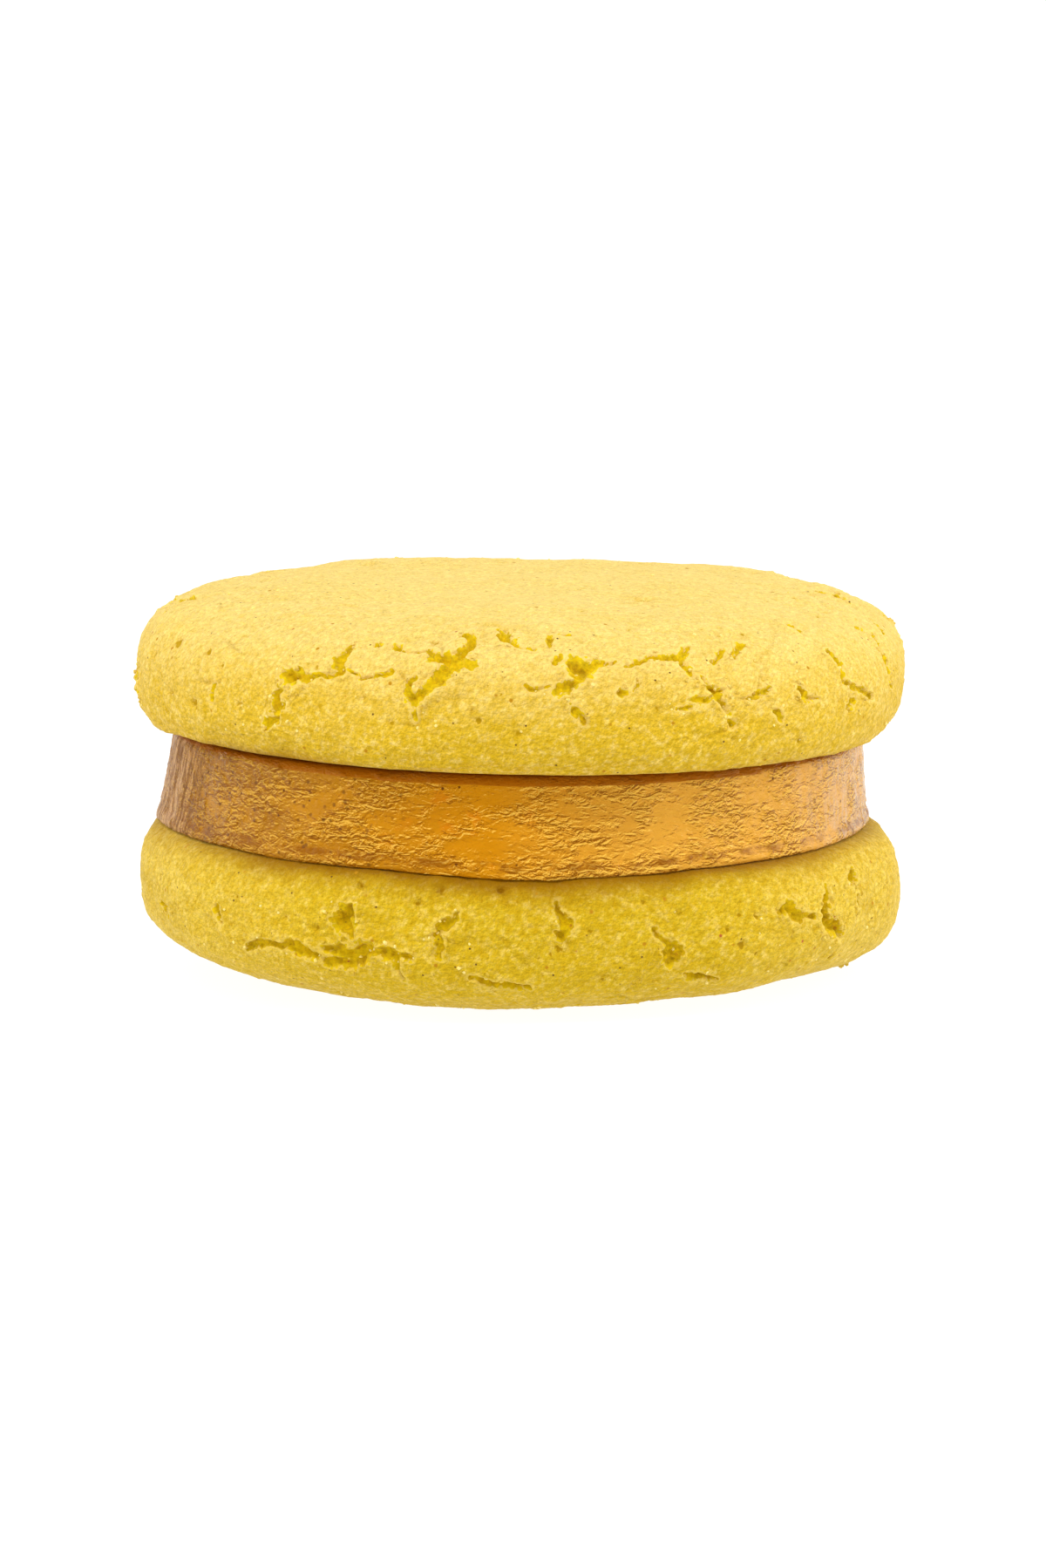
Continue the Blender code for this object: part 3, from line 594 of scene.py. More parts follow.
def cookie_mesh(cookie, cracks, pits):
    """The fine skin of a cookie, with attributes for its material: torn, pit and crown."""
    grid = wrapped_cube()
    cut_finer(cookie, grid, cracks, pits)
    azimuth, rise = unwrapped(cookie, grid)
    points, normals = cookie.skin(azimuth, rise)
    fray = sum(height * noise_at(points, size, cookie.seed + 5) for size, height in CRACK_FRAY)
    bits = cells_at(points, CRACK_CRUMBLE[0], cookie.seed + 6)[0]
    fray += CRACK_CRUMBLE[1] * (bits - CRUMBLE_LEVEL)
    sunk, torn, rim = crack_relief(cookie, points, cracks, fray)
    pit_sunk, pit_torn = pit_relief(cookie, points, pits, fray)
    sunk = np.maximum(sunk, pit_sunk)

    open_skin = 1 - np.clip((-normals[:, 2] - 0.8) * 5, 0, 1)
    lumps = (lumps_at(cookie, points) + swelling(cookie, points) + LIP_HEIGHT * rim) * open_skin
    lumps += rim_bits(cookie, points, rise)
    open_grain = FLAT_SIDE_GRAIN + (1 - FLAT_SIDE_GRAIN) * open_skin
    grain = sandy_grain(cookie, points, rise, rim, sunk) * open_grain
    near_torn = np.clip(rim + smooth_step(0.05, 0.4, sunk), 0, 1)
    crumble = CRUMBLE_HEIGHT * (CRUMBLE_LEVEL - bits) * near_torn
    move = lumps + grain - CREASE_DEPTH * creases(cookie, points, rise) - sunk + crumble
    points = points + normals * move[:, None]

    for vertex, point in zip(grid.verts, points):
        vertex.co = point * MM
    mesh = bpy.data.meshes.new(cookie.name)
    grid.to_mesh(mesh)
    grid.free()
    mesh.shade_smooth()
    # The crown's share, for its tone, which on the upper cookie is partly painted sheen
    crown = smooth_step(*CROWN_TONE_RISES, rise)
    for name, values in (("torn", torn), ("pit", pit_torn), ("crown", crown)):
        set_values(mesh, name, values)
    return mesh, points, normals, rim * (torn < 0), rise


def placed(centre, tilt, pitch):
    """tilt lowers the +X side, and pitch lifts the front."""
    lean = Matrix.Rotation(math.radians(-pitch), 4, "X") @ Matrix.Rotation(math.radians(tilt), 4, "Y")
    return Matrix.Translation((centre[0] * MM, 0, centre[1] * MM)) @ lean


def put(mesh, name, finish, matrix=Matrix.Identity(4)):
    """An object in the scene, with its place put into its mesh."""
    mesh.transform(matrix)
    mesh.materials.append(finish)
    made = bpy.data.objects.new(name, mesh)
    bpy.context.scene.collection.objects.link(made)
    return made


def blunt(piece):
    """Presses what would stand below the table flat onto it."""
    for vertex in piece.data.vertices:
        vertex.co.z = max(vertex.co.z, 0.0)


def scatter(name, finish, seed, places, normals, sizes, angular):
    """One piece of many small grains, each a jittered ball sunk about halfway into the skin."""
    draw = random.Random(seed)
    ball = bmesh.new()
    bmesh.ops.create_icosphere(ball, subdivisions=1 if angular else 2, radius=1.0)
    corners = [vertex.co.copy() for vertex in ball.verts]
    triangles = [[vertex.index for vertex in face.verts] for face in ball.faces]
    ball.free()
    points, faces = [], []
    for place, normal in zip(places, normals):
        size = draw.uniform(*sizes)
        stretch = [draw.uniform(*GRAIN_STRETCH) * size for axis in range(3)]
        turn = Vector([draw.gauss(0, 1) for axis in range(4)]).normalized()
        turn = Matrix.Rotation(draw.uniform(0, 6.28), 3, turn.to_3d())
        centre = Vector(place) + Vector(normal) * size * draw.uniform(*GRAIN_LIFT)
        first = len(points)
        for corner in corners:
            jitter = 1 + draw.uniform(-GRAIN_JITTER, GRAIN_JITTER)
            local = Vector([value * share * jitter for value, share in zip(corner, stretch)])
            points.append((centre + turn @ local) * MM)
        faces += [[first + index for index in triangle] for triangle in triangles]
    mesh = bpy.data.meshes.new(name)
    mesh.from_pydata(points, [], faces)
    if not angular:
        mesh.shade_smooth()
    return put(mesh, name, finish)


class Nodes:
    """Short ways to add and join a material's nodes. Each way gives the socket that the next one reads."""

    def __init__(self, name):
        self.material = bpy.data.materials.new(name)
        self.material.use_nodes = True
        self.tree = self.material.node_tree
        self.shader = self.tree.nodes["Principled BSDF"]

    def add(self, kind, **settings):
        node = self.tree.nodes.new("ShaderNode" + kind)
        for key, value in settings.items():
            setattr(node, key, value)
        return node

    def feed(self, node, inputs):
        """Joins each input to a socket, or sets it to a number or colour. Gives the node's outputs."""
        for name, value in inputs.items():
            if isinstance(value, bpy.types.NodeSocket):
                self.tree.links.new(value, node.inputs[name])
            else:
                node.inputs[name].default_value = value
        return node.outputs

    def place(self, size=1.0, stretch=(1, 1, 1), shift=(0, 0, 0)):
        """Where a point is on the object, in steps of size millimetres, read shift millimetres away."""
        inputs = {
            "Vector": self.add("TexCoord").outputs["Object"],
            "Scale": tuple(1000 / size * share for share in stretch),
            "Location": tuple(way * share / size for way, share in zip(shift, stretch)),
        }
        return self.feed(self.add("Mapping"), inputs)["Vector"]

    def across(self):
        """How far a point is along the object's X axis, in millimetres."""
        return self.feed(self.add("SeparateXYZ"), {"Vector": self.place()})["X"]

    def noise(self, size, detail=2.0, roughness=0.5, stretch=(1, 1, 1), swirl=0.0, shift=(0, 0, 0)):
        """Noise with features of that size in millimetres, read shift millimetres away."""
        inputs = {
            "Vector": self.place(size, stretch, shift), "Scale": 1.0,
            "Detail": detail, "Roughness": roughness, "Distortion": swirl,
        }
        return self.feed(self.add("TexNoise"), inputs)["Fac"]

    def embossed(self, shift, **settings):
        """The noise, and how much it falls over that shift: positive on the sides that face that way."""
        here, there = self.noise(**settings), self.noise(shift=shift, **settings)
        return here, self.math("SUBTRACT", here, there)

    def cells(self, size):
        """Cells of that size: the Distance to the nearest middle, and a Color of its own for each cell."""
        return self.feed(self.add("TexVoronoi"), {"Vector": self.place(size), "Scale": 1.0})

    def remap(self, value, low, high, to_low=0.0, to_high=1.0):
        """The value, taken from the range low to high into the range to_low to to_high."""
        inputs = {"Value": value, "From Min": low, "From Max": high, "To Min": to_low, "To Max": to_high}
        return self.feed(self.add("MapRange"), inputs)["Result"]

    def math(self, operation, first, second=0.0):
        return self.feed(self.add("Math", operation=operation), {0: first, 1: second})["Value"]

    def times(self, first, second):
        return self.math("MULTIPLY", first, second)

    def mix(self, share, first, second, blend="MIX"):
        """The first colour with that share of the second over it. The colour sockets go by number."""
        made = self.add("Mix", data_type="RGBA", blend_type=blend)
        return self.feed(made, {0: share, 6: first, 7: second})[2]

    def attribute(self, name):
        return self.add("Attribute", attribute_name=name).outputs["Fac"]

    def grey(self, value):
        inputs = {"Red": value, "Green": value, "Blue": value}
        return self.feed(self.add("CombineColor"), inputs)["Color"]

    def shaded(self, colour, value):
        """A colour times a grey."""
        return self.mix(1.0, colour, self.grey(value), "MULTIPLY")

    def specks(self, size, reach, keep, core=0.55):
        """1 in small round specks, each in the middle of a cell, and only in cells past the number keep."""
        cell = self.cells(size)
        near = self.remap(cell["Distance"], reach, reach * core)
        return self.times(near, self.remap(cell["Color"], keep, keep + 0.01))

    def bump(self, height, strength, millimetres):
        inputs = {"Height": height, "Strength": strength, "Distance": millimetres * MM}
        return self.feed(self.add("Bump"), inputs)["Normal"]

    def finish(self, inputs):
        """Sets what the shader reads, and gives the material."""
        self.feed(self.shader, inputs)
        return self.material


def whole_dough(look, tones, painted_end_sheen):
    """Pale sandy blobs on a deeper yellow, calmer on the crown and paler there, partly its own tone and
    partly painted sheen, and with painted sheen at both ends.
    """
    crown = look.attribute("crown")
    uneven = look.remap(look.noise(7.0, 3.0), 0.3, 0.7, -0.15, 0.15)
    # The crown's tone: on the upper cookie paler, partly the dough's own tone and partly painted sheen
    colour = look.mix(look.math("ADD", crown, uneven), tones["side"], tones["crown"])
    # Painted sheen towards both ends
    ends = look.remap(look.math("ABSOLUTE", look.across()), *PAINTED_SHEEN_ENDS, 0.0, painted_end_sheen)
    colour = look.mix(ends, colour, tones["pale"])
    blobs = look.noise(0.85, 5.0, 0.68)
    colour = look.mix(look.remap(blobs, 0.5, 0.68, 0.0, 0.8), colour, tones["pale"])
    calm = look.remap(crown, 0.0, 1.0, 1.0, 0.4)
    between_blobs = look.remap(blobs, 0.48, 0.32, 0.0, 0.8)
    drifts = look.remap(look.noise(5.0, 2.0), 0.5, 0.7, 0.0, 0.35)
    gaps = look.remap(look.cells(0.5)["Distance"], 0.35, 0.8, 0.0, 0.55)
    for share in (between_blobs, drifts, gaps):
        colour = look.mix(look.times(share, calm), colour, tones["warm"])
    return colour


def torn_dough(look, colour, tones):
    """Lays pits and cracks over the dough: pale at a crumbling lip, and deep yellow to ochre inside, with the
    pits darkened partly by painted shade.
    """
    crumbs = look.remap(look.cells(0.62)["Distance"], 0.1, 0.8, 0.13, -0.2)
    frayed = look.math("ADD", crumbs, look.remap(look.noise(0.5, 4.0, 0.68), 0.3, 0.7, -0.2, 0.2))
    inside = look.math("ADD", look.attribute("torn"), frayed)
    colour = look.mix(look.remap(inside, -0.45, -0.1, 0.0, 0.5), colour, tones["pale"])
    pitted = look.remap(look.math("ADD", look.attribute("pit"), frayed), 0.0, 0.14, 0.0, 0.9)
    marks = look.remap(look.noise(1.2, 5.0, 0.7), 0.63, 0.68)
    marked = look.remap(look.noise(6.0, 1.0), 0.42, 0.56, 0.0, 0.75)
    pitted = look.math("MAXIMUM", pitted, look.times(marks, marked))
    # The pit tone: on the marks the dough's own colour, in the pits partly painted shade
    colour = look.mix(pitted, colour, tones["pit"])
    floor = look.mix(look.remap(inside, 0.05, 0.4), tones["crack"], tones["deep"])
    browned = look.remap(look.noise(1.1, 4.0, 0.6), 0.5, 0.62, 0.0, 0.75)
    floor = look.mix(browned, floor, tones["pit"])
    floor = look.shaded(floor, look.remap(look.noise(0.5, 4.0, 0.65), 0.3, 0.7, 0.78, 1.22))
    return look.mix(look.remap(inside, -0.03, 0.05, 0.0, 0.96), colour, floor)


def crumb_material(name, tones, painted_end_sheen):
    """Baked sugar dough: a matt sandy crumb with painted light and shade on its grain, a painted shadow
    beside the jelly, and a few specks.
    """
    look = Nodes(name)
    grain, painted_light = look.embossed((-0.05, 0.0, 0.08), size=0.4, detail=3.0, roughness=0.65)
    colour = whole_dough(look, tones, painted_end_sheen)
    # Painted light and shade on the sandy grain, as if lit from above and the left
    colour = look.shaded(colour, look.remap(painted_light, -0.1, 0.1, 0.84, 1.16))
    colour = torn_dough(look, colour, tones)
    # Painted shadow on the dough beside the jelly's wall
    painted_jelly_shadow = look.remap(look.attribute("painted_jelly_shadow"), 0.0, 1.0, 0.0, 0.9)
    colour = look.mix(painted_jelly_shadow, colour, tones["painted_jelly_shadow"])
    for size, reach, keep, tone in DOUGH_SPECKS:
        colour = look.mix(look.specks(size, reach, keep), colour, tone)
    granules = look.remap(look.cells(0.55)["Distance"], 0.0, 1.0, 0.0, 0.6)
    return look.finish({
        "Base Color": colour,
        "Normal": look.bump(look.math("SUBTRACT", grain, granules), 0.8, 0.2),
        "Roughness": look.remap(look.noise(0.7, 2.0), 0.3, 0.7, 0.62, 0.85),
        "Specular IOR Level": 0.15, "Specular Tint": (1.0, 0.75, 0.1, 1.0),
        "Subsurface Weight": 0.1, "Subsurface Radius": (1.0, 0.65, 0.18), "Subsurface Scale": 0.0008,
        "Sheen Weight": 0.09, "Sheen Roughness": 0.3, "Sheen Tint": (1.0, 0.92, 0.62, 1.0),
    })


def sugar_material():
    """Cloudy grains of sugar, tinted by the dough."""
    look = Nodes("sugar")
    cloud = look.remap(look.noise(0.3, 2.0), 0.35, 0.65)
    return look.finish({
        "Base Color": look.mix(cloud, *SUGAR_TONES), "Roughness": 0.5, "Specular IOR Level": 0.3,
        "Subsurface Weight": 0.4, "Subsurface Radius": (1.0, 0.8, 0.4), "Subsurface Scale": 0.0004,
    })


def jelly_ground(look, across):
    """Amber and gold in patches, with orange and embers in the middle, and lighter to the right: partly the
    jelly's own tone, partly painted light from the right.
    """
    tones = JELLY_TONES
    region = look.remap(look.noise(6.0, 2.0, 0.5, (0.7, 0.7, 1.6)), 0.38, 0.6)
    colour = look.mix(region, tones["amber"], tones["gold"])
    rising, falling = look.remap(across, -24.0, -4.0), look.remap(across, 14.0, 2.0, 0.0, 0.75)
    middle = look.times(rising, falling)
    colour = look.mix(middle, colour, tones["orange"])
    # Lighter to the right, partly painted light from the right side
    colour = look.mix(look.remap(across, -3.0, 14.0, 0.0, 0.76), colour, tones["light"])
    embers = look.remap(look.noise(3.4, 3.0, 0.6), 0.58, 0.7, 0.0, 0.5)
    return look.mix(look.times(embers, middle), colour, tones["ember"])


def jelly_film(look, across):
    """The film's crinkles, strong in patches and at the left end: the painted light and shade of their
    slopes, and their height.
    """
    broad = look.noise(5.0, 2.0, 0.5, (0.8, 0.8, 1.5), shift=(20, 0, 0))
    crinkled = look.remap(broad, 0.38, 0.56, 0.28, 1.0)
    crinkled = look.math("MAXIMUM", crinkled, look.remap(across, -20.0, -28.0, 0.0, 0.9))
    patchy = look.remap(look.noise(1.9, 3.0, 0.6, (0.7, 0.7, 1.4)), 0.4, 0.56, 0.4, 1.15)
    crinkled = look.times(crinkled, patchy)
    film, painted_light = look.embossed(
        (-0.04, 0.0, 0.11), size=0.95, detail=4.0, roughness=0.62, stretch=(0.72, 0.72, 1.6), swirl=0.9
    )
    fine, fine_painted_light = look.embossed(
        (-0.04, 0.0, 0.06), size=0.42, detail=3.0, roughness=0.6, stretch=(0.8, 0.8, 1.4), swirl=0.5
    )
    painted_light = look.math("ADD", painted_light, look.times(fine_painted_light, 0.55))
    painted_light = look.times(painted_light, crinkled)
    height = look.times(film, crinkled)
    return painted_light, look.math("ADD", height, look.times(fine, 0.3))


def foot_lines(look, colour):
    """A broken painted highlight line and a broken painted shade line round the foot."""
    height = look.attribute("height")
    for low, high, tone, most in FOOT_LINES:
        rising = look.remap(height, low, low + FOOT_LINE_SOFT)
        falling = look.remap(height, high, high - FOOT_LINE_SOFT, 0.0, most)
        broken = look.remap(look.noise(1.8, 4.0, 0.6, (0.5, 0.5, 1.0)), 0.42, 0.56)
        line = look.times(look.times(rising, falling), broken)
        colour = look.mix(line, colour, JELLY_TONES[tone])
    return colour


def jelly_ends(look, colour):
    """Brown streaks towards the left end, then streaks of painted reflection with brown spots towards both
    ends.
    """
    streaks = look.noise(0.6, 4.0, 0.62, (1.0, 1.0, 0.14))
    spots = look.noise(1.9, 4.0, 0.65, (1.0, 1.0, 0.6))
    for where, share, tone in (
        ("brown", look.remap(streaks, 0.6, 0.42, 0.1, 0.9), "brown"),
        ("painted_reflection", look.remap(streaks, 0.44, 0.64, 0.1, 0.8), "painted_reflection"),
        ("painted_reflection", look.remap(spots, 0.57, 0.66, 0.0, 0.7), "brown"),
    ):
        colour = look.mix(look.times(look.attribute(where), share), colour, JELLY_TONES[tone])
    return colour


def jelly_material():
    """Set fruit jelly under a crinkled film: amber with painted gold highlights on its ridges and painted
    shade below them, glossy, with painted reflections at its ends and a painted shadow under the upper
    cookie.
    """
    look = Nodes("jelly")
    tones = JELLY_TONES
    across = look.across()
    colour = jelly_ground(look, across)
    painted_light, height = jelly_film(look, across)
    # Painted highlights on the crinkles' sides that face up and left, weaker towards the left end, and
    # painted shade on the sides facing away
    lit = look.times(look.remap(painted_light, 0.018, 0.065), look.remap(across, -32.0, -6.0, 0.4, 0.85))
    colour = look.mix(lit, colour, tones["glint"])
    colour = look.mix(look.remap(painted_light, -0.012, -0.065, 0.0, 0.9), colour, tones["crease"])
    colour = jelly_ends(look, foot_lines(look, colour))
    colour = look.mix(look.specks(1.9, 0.1, 0.4, 0.6), colour, tones["fleck"])
    pricks = look.remap(look.cells(0.9)["Distance"], 0.3, 0.16, 0.0, 0.8)
    pricked = look.remap(look.noise(2.4, 3.0, 0.6), 0.46, 0.56)
    pricked = look.times(look.remap(across, -4.0, -20.0), pricked)
    colour = look.mix(look.times(pricks, pricked), colour, tones["fleck"])
    # Painted shadow: a dark band along the top of the wall, under the upper cookie's overhang
    hidden = look.remap(look.attribute("hidden"), 0.3, 0.7, 0.0, 0.9)
    colour = look.mix(hidden, colour, tones["hidden"])
    gloss = look.remap(look.noise(2.2, 3.0), 0.3, 0.7, 0.08, 0.22)
    matt = look.remap(look.attribute("brown"), 0.0, 1.0, 0.0, 0.6)
    return look.finish({
        "Base Color": colour, "Normal": look.bump(height, 0.8, 0.6),
        "Roughness": look.math("MAXIMUM", gloss, matt),
        "Specular IOR Level": 0.3, "Specular Tint": (1.0, 0.6, 0.08, 1.0),
        "Subsurface Weight": 0.1, "Subsurface Radius": (1.0, 0.42, 0.05), "Subsurface Scale": 0.002,
    })


def jelly_outline():
    """(radius, height, wall) down the section; wall is 1 where the wrinkles are at full height."""
    rows = [(JELLY_RADIUS_TOP - inset, JELLY_THICK - drop, wall) for inset, drop, wall in JELLY_TOP_EDGE]
    foot = [(JELLY_RADIUS_FOOT - inset, height, wall) for inset, height, wall in JELLY_FOOT_EDGE]
    (radius, height, wall), (last_radius, last_height, wall) = rows[-1], foot[0]
    for i in range(1, JELLY_ROWS):
        share = i / JELLY_ROWS
        between = radius + (last_radius - radius) * share, height + (last_height - height) * share
        rows.append((*between, wall))
    return rows + foot


def wrinkled(points, out, wall):
    """The wall's points moved in and out like a drying film, most near the foot and at both sides."""
    low = 1 - smooth_step(*LOW_WRINKLES, points[:, 2])
    flat = points * (1, 1, WRINKLE_FLATNESS)
    move = np.zeros(len(points))
    for number, (size, height) in enumerate(WRINKLES):
        soft = noise_at(flat, size, 40 + number)
        crest = 1 - np.abs(noise_at(flat, size * 1.3, 60 + number)) * 2
        move += height * (soft + 0.7 * crest * crest) * (0.45 + 0.75 * low)
    sides = smooth_step(*UPRIGHT_FROM, np.abs(out[:, 0]))
    size, height = UPRIGHT_WRINKLES
    move += height * sides * noise_at(points * (1, 1, UPRIGHT_FLATNESS), size, 77)
    size, height = WALL_WAVES
    move += height * noise_at(points, size, 91)
    return points + out * (move * wall)[:, None]


def gap_between(lower, upper):
    """A function that gives the foot and the top of the jelly at x and y, between the two solid cookies."""
    middle = (LOWER_CENTRE[1] + UPPER_CENTRE[1]) / 2 * MM
    trees = []
    for cookie in (lower, upper):
        solid = bmesh.new()
        solid.from_mesh(cookie.data)
        trees.append(BVHTree.FromBMesh(solid))
        solid.free()

    def foot_and_top(x, y):
        start = Vector((x * MM, y * MM, middle))
        floor, roof = (tree.ray_cast(start, Vector((0, 0, way)))[0] for tree, way in zip(trees, (-1, 1)))
        return floor.z / MM + JELLY_SEAT, roof.z / MM - JELLY_HEADROOM

    return foot_and_top


def jelly_marks(points, out, share):
    """Where the wall is brown, where it gets painted reflections, and where it gets a painted shadow under
    the upper cookie, for the material to read.
    """
    uneven = 0.06 * noise_at(points * (1, 1, 0.5), 2.6, 85)
    # Brown at the left end; painted reflections at both ends of the front and in patches at the back
    left, right = smooth_step(0.77, 0.94, uneven - out[:, 0]), smooth_step(0.74, 0.96, uneven + out[:, 0])
    left_end = smooth_step(0.87, 0.98, uneven - out[:, 0])
    front = 1 - 0.85 * smooth_step(-0.35, 0.25, out[:, 1] + 0.2 * noise_at(points, 4.0, 84))
    back = smooth_step(0.0, 0.4, out[:, 1])
    back_patches = 0.5 * smooth_step(0.05, 0.4, noise_at(points, 8.0, 83)) * back
    # The painted shadow band along the top of the wall, thinner towards both ends
    edge = SHADOW_BAND_FROM + SHADOW_BAND_THINS * np.abs(out[:, 0]) ** 2 + 0.012 * noise_at(points, 3.0, 80)
    hidden = smooth_step(-0.012, 0.012, share - edge)
    return left * front, (left_end + right) * front + back_patches, hidden


def disc_faces(rings):
    """Faces from ring to ring, and those that close the disc at its last two points, the top one first."""
    top_end, last = rings * JELLY_AROUND, (rings - 1) * JELLY_AROUND
    faces = []
    for j in range(JELLY_AROUND):
        k = (j + 1) % JELLY_AROUND
        faces += [(top_end, j, k), (top_end + 1, last + k, last + j)]
        for a in range(0, last, JELLY_AROUND):
            b = a + JELLY_AROUND
            faces.append((a + k, a + j, b + j, b + k))
    return faces


def jelly_mesh(lower, upper):
    """The disc with its wrinkled wall, settled on the cookie below and reaching up to the one above."""
    rows = jelly_outline()
    angles = np.linspace(0, 2 * math.pi, JELLY_AROUND, endpoint=False)
    around = np.stack([np.sin(angles), -np.cos(angles), 0 * angles], -1)
    out = np.tile(around, (len(rows), 1))
    points = np.concatenate([radius * around + (0, 0, height) for radius, height, wall in rows])
    points = wrinkled(points, out, np.repeat([wall for radius, height, wall in rows], JELLY_AROUND))
    share = points[:, 2] / JELLY_THICK
    points[:, 0] += JELLY_FOOT_X + (JELLY_TOP_X - JELLY_FOOT_X) * share
    foot_and_top = gap_between(lower, upper)
    for i, (x, y, z) in enumerate(points):
        foot, top = foot_and_top(x, y)
        points[i, 2] = foot + (top - foot) * share[i]
    brown, painted_reflection, hidden = jelly_marks(points, out, share)
    foot, top = foot_and_top(0, 0)
    points = np.concatenate([points, [(JELLY_TOP_X, 0, top), (JELLY_FOOT_X, 0, foot)]])
    mesh = bpy.data.meshes.new("jelly_wrinkled")
    mesh.from_pydata([Vector(point) * MM for point in points], [], disc_faces(len(rows)))
    mesh.shade_smooth()
    for name, values, at_ends in (
        ("brown", brown, (0, 0)), ("painted_reflection", painted_reflection, (0, 0)),
        ("height", share, (1, 0)), ("hidden", hidden, (1, 1)),
    ):
        set_values(mesh, name, np.append(values, at_ends))
    return mesh


def area_light(name, place, size, watts):
    data = bpy.data.lights.new(name, "AREA")
    data.shape = "RECTANGLE"
    data.size, data.size_y = size
    data.energy = watts
    made = bpy.data.objects.new(name, data)
    bpy.context.scene.collection.objects.link(made)
    made.location = place
    made.rotation_euler = (Vector(LIGHT_AIM) - Vector(place)).to_track_quat("-Z", "Y").to_euler()


def studio():
    """A pale light table in a white surround, with a small key light above the front."""
    plane = bmesh.new()
    bmesh.ops.create_grid(plane, x_segments=1, y_segments=1, size=FLOOR_SIDE / 2)
    mesh = bpy.data.meshes.new("floor")
    plane.to_mesh(mesh)
    plane.free()
    look = Nodes("floor_paper")
    paper = look.finish({
        "Base Color": look.grey(look.remap(look.noise(40.0, 2.0), 0.3, 0.7, *FLOOR_TONE)),
        "Roughness": 0.9, "Specular IOR Level": 0.1,
        "Emission Color": (1.0, 1.0, 1.0, 1.0), "Emission Strength": FLOOR_GLOW,
    })
    put(mesh, "floor", paper)

    world = bpy.data.worlds.new("surround")
    bpy.context.scene.world = world
    world.use_nodes = True
    back = world.node_tree.nodes["Background"]
    back.inputs["Color"].default_value = (1.0, 1.0, 1.0, 1.0)
    back.inputs["Strength"].default_value = SURROUND
    for light in LIGHTS:
        area_light(*light)
    bpy.context.scene.view_settings.view_transform = "Standard"


def camera():
    """Level sideways, looking down a little at the front, framed as the photograph is."""
    rise = math.radians(CAMERA_ELEVATION)
    aim = Vector((0, 0, AIM_HEIGHT))
    back = Vector((0, -math.cos(rise), math.sin(rise)))
    up = Vector((0, math.sin(rise), math.cos(rise)))
    place = aim + back * CAMERA_DISTANCE + up * (AIM_BELOW_MIDDLE / PIXELS_PER_MM)
    data = bpy.data.cameras.new("portrait")
    data.sensor_width = 36.0
    data.lens = CAMERA_DISTANCE * PIXELS_PER_MM / PHOTO_HEIGHT * data.sensor_width
    data.clip_start = 0.01
    data.clip_end = 50.0
    made = bpy.data.objects.new("portrait", data)
    bpy.context.scene.collection.objects.link(made)
    made.location = place * MM
    made.rotation_euler = (-back).to_track_quat("-Z", "Y").to_euler()
    bpy.context.scene.camera = made


def painted_jelly_shadow_share(cookie, places, rise):
    """How strong the painted shadow on the dough is: most beside the jelly's wall, and less towards both
    ends.
    """
    below = cookie.mirror < 0
    radius, middle = (JELLY_RADIUS_FOOT, JELLY_FOOT_X) if below else (JELLY_RADIUS_TOP, JELLY_TOP_X)
    apart = np.hypot(places[:, 0] - middle, places[:, 1]) - radius
    share = (1 - smooth_step(-0.2, JELLY_SHADOW_REACH, apart)) * (1 - smooth_step(*JELLY_SHADOW_RISES, rise))
    return share * (1 - 0.5 * smooth_step(*JELLY_SHADOW_LESS, np.abs(places[:, 0])))


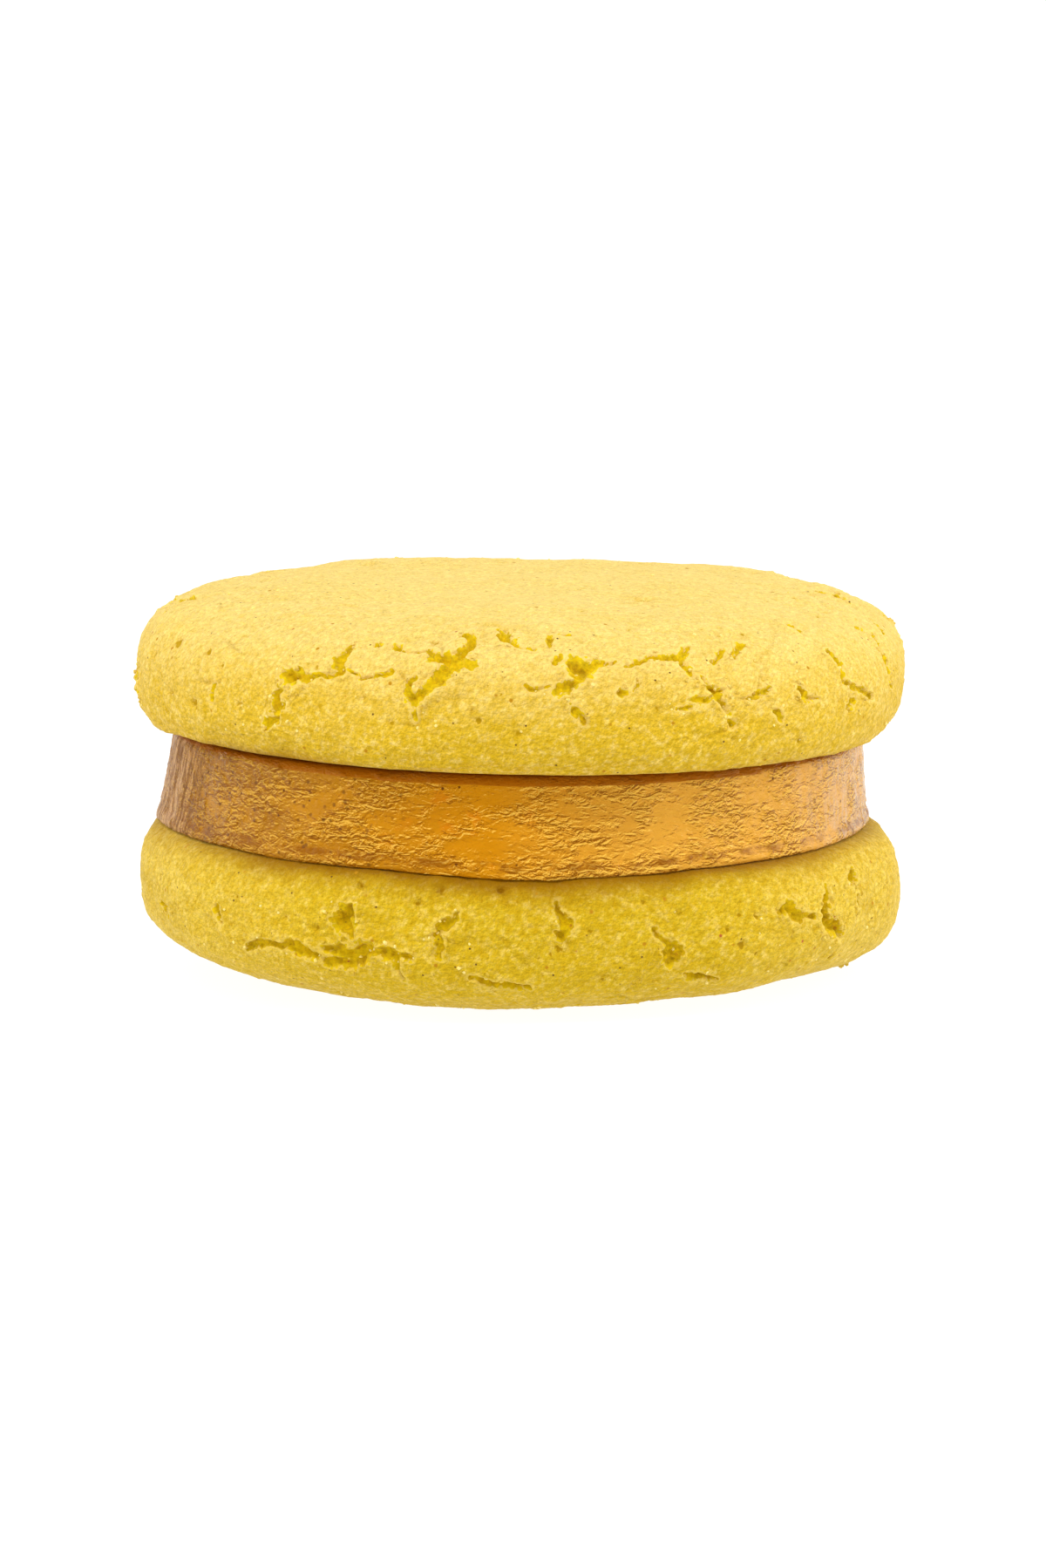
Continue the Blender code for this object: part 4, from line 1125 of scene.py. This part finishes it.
def dress_cookie(cookie, node, cracks, pits, finish, sugar, matrix, seed):
    """The fine skin in place of the solid, with sugar grains and crumbs that lie on it."""
    mesh, points, normals, edge, rise = cookie_mesh(cookie, cracks, pits)
    skin = put(mesh, cookie.name, finish, matrix)
    blunt(skin)
    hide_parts(node)
    turn = np.array(matrix.to_3x3())
    places = points @ turn.T + np.array(matrix.translation) / MM
    ways = normals @ turn.T
    # Painted shadow on the dough beside the jelly, for the material to read
    set_values(skin.data, "painted_jelly_shadow", painted_jelly_shadow_share(cookie, places, rise))

    draw = np.random.default_rng(seed)
    shown = (rise > OPEN_RISE).astype(float)
    shown *= SUGAR_LEAST + (1 - SUGAR_LEAST) * (noise_at(points, SUGAR_PATCH, seed) > 0)
    chosen = draw.choice(len(points), SUGAR_GRAINS, replace=False, p=shown / shown.sum())
    grains = scatter(cookie.name + "_sugar", sugar, seed, places[chosen], ways[chosen], SUGAR_SIZES, True)
    beside_cracks = edge * (rise > OPEN_RISE)
    chosen = draw.choice(len(points), EDGE_CRUMBS, replace=False, p=beside_cracks / beside_cracks.sum())
    crumbs = scatter(
        cookie.name + "_crumbs", finish, seed + 1, places[chosen], ways[chosen], CRUMB_SIZES, False
    )
    corners = len(crumbs.data.vertices) // EDGE_CRUMBS
    set_values(crumbs.data, "crown", np.repeat(smooth_step(*CROWN_TONE_RISES, rise[chosen]), corners))
    for name in ("torn", "pit"):
        set_values(crumbs.data, name, np.full(corners * EDGE_CRUMBS, -0.25))
    for piece in (grains, crumbs):
        blunt(piece)
    for piece in (skin, grains, crumbs):
        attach(piece, "root")


def main():
    studio()
    camera()
    sugar = sugar_material()
    upper = Cookie(
        "crackled_upper", UPPER_RADIUS, UPPER_DOME, UPPER_FLAT, UPPER_SECTION,
        mirror=1, seed=11, plan=UPPER_PLAN, swells=UPPER_SWELLS,
    )
    lower = Cookie(
        "crackled_lower", LOWER_RADIUS, LOWER_DOME, LOWER_FLAT, LOWER_SECTION,
        mirror=-1, seed=47, plan=LOWER_PLAN, swells=LOWER_SWELLS,
    )
    dress_cookie(
        upper, "cookie_upper", UPPER_CRACKS + tuple(back_cracks(3)), UPPER_PITS + small_pits(21),
        crumb_material("crumb_upper", UPPER_TONES, UPPER_PAINTED_END_SHEEN), sugar,
        placed(UPPER_CENTRE, UPPER_TILT, UPPER_PITCH), 5,
    )
    turned_over = Matrix.Rotation(math.pi, 4, "Y")
    dress_cookie(
        lower, "cookie_lower", LOWER_CRACKS + tuple(back_cracks(8)), LOWER_PITS + small_pits(22),
        crumb_material("crumb_lower", LOWER_TONES, LOWER_PAINTED_END_SHEEN), sugar,
        placed(LOWER_CENTRE, LOWER_TILT, LOWER_PITCH) @ turned_over, 6,
    )
    wall = jelly_mesh(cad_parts["cookie_lower"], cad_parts["cookie_upper"])
    jelly = put(wall, "jelly_wrinkled", jelly_material())
    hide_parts("jelly_filling")
    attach(jelly, "root")


main()
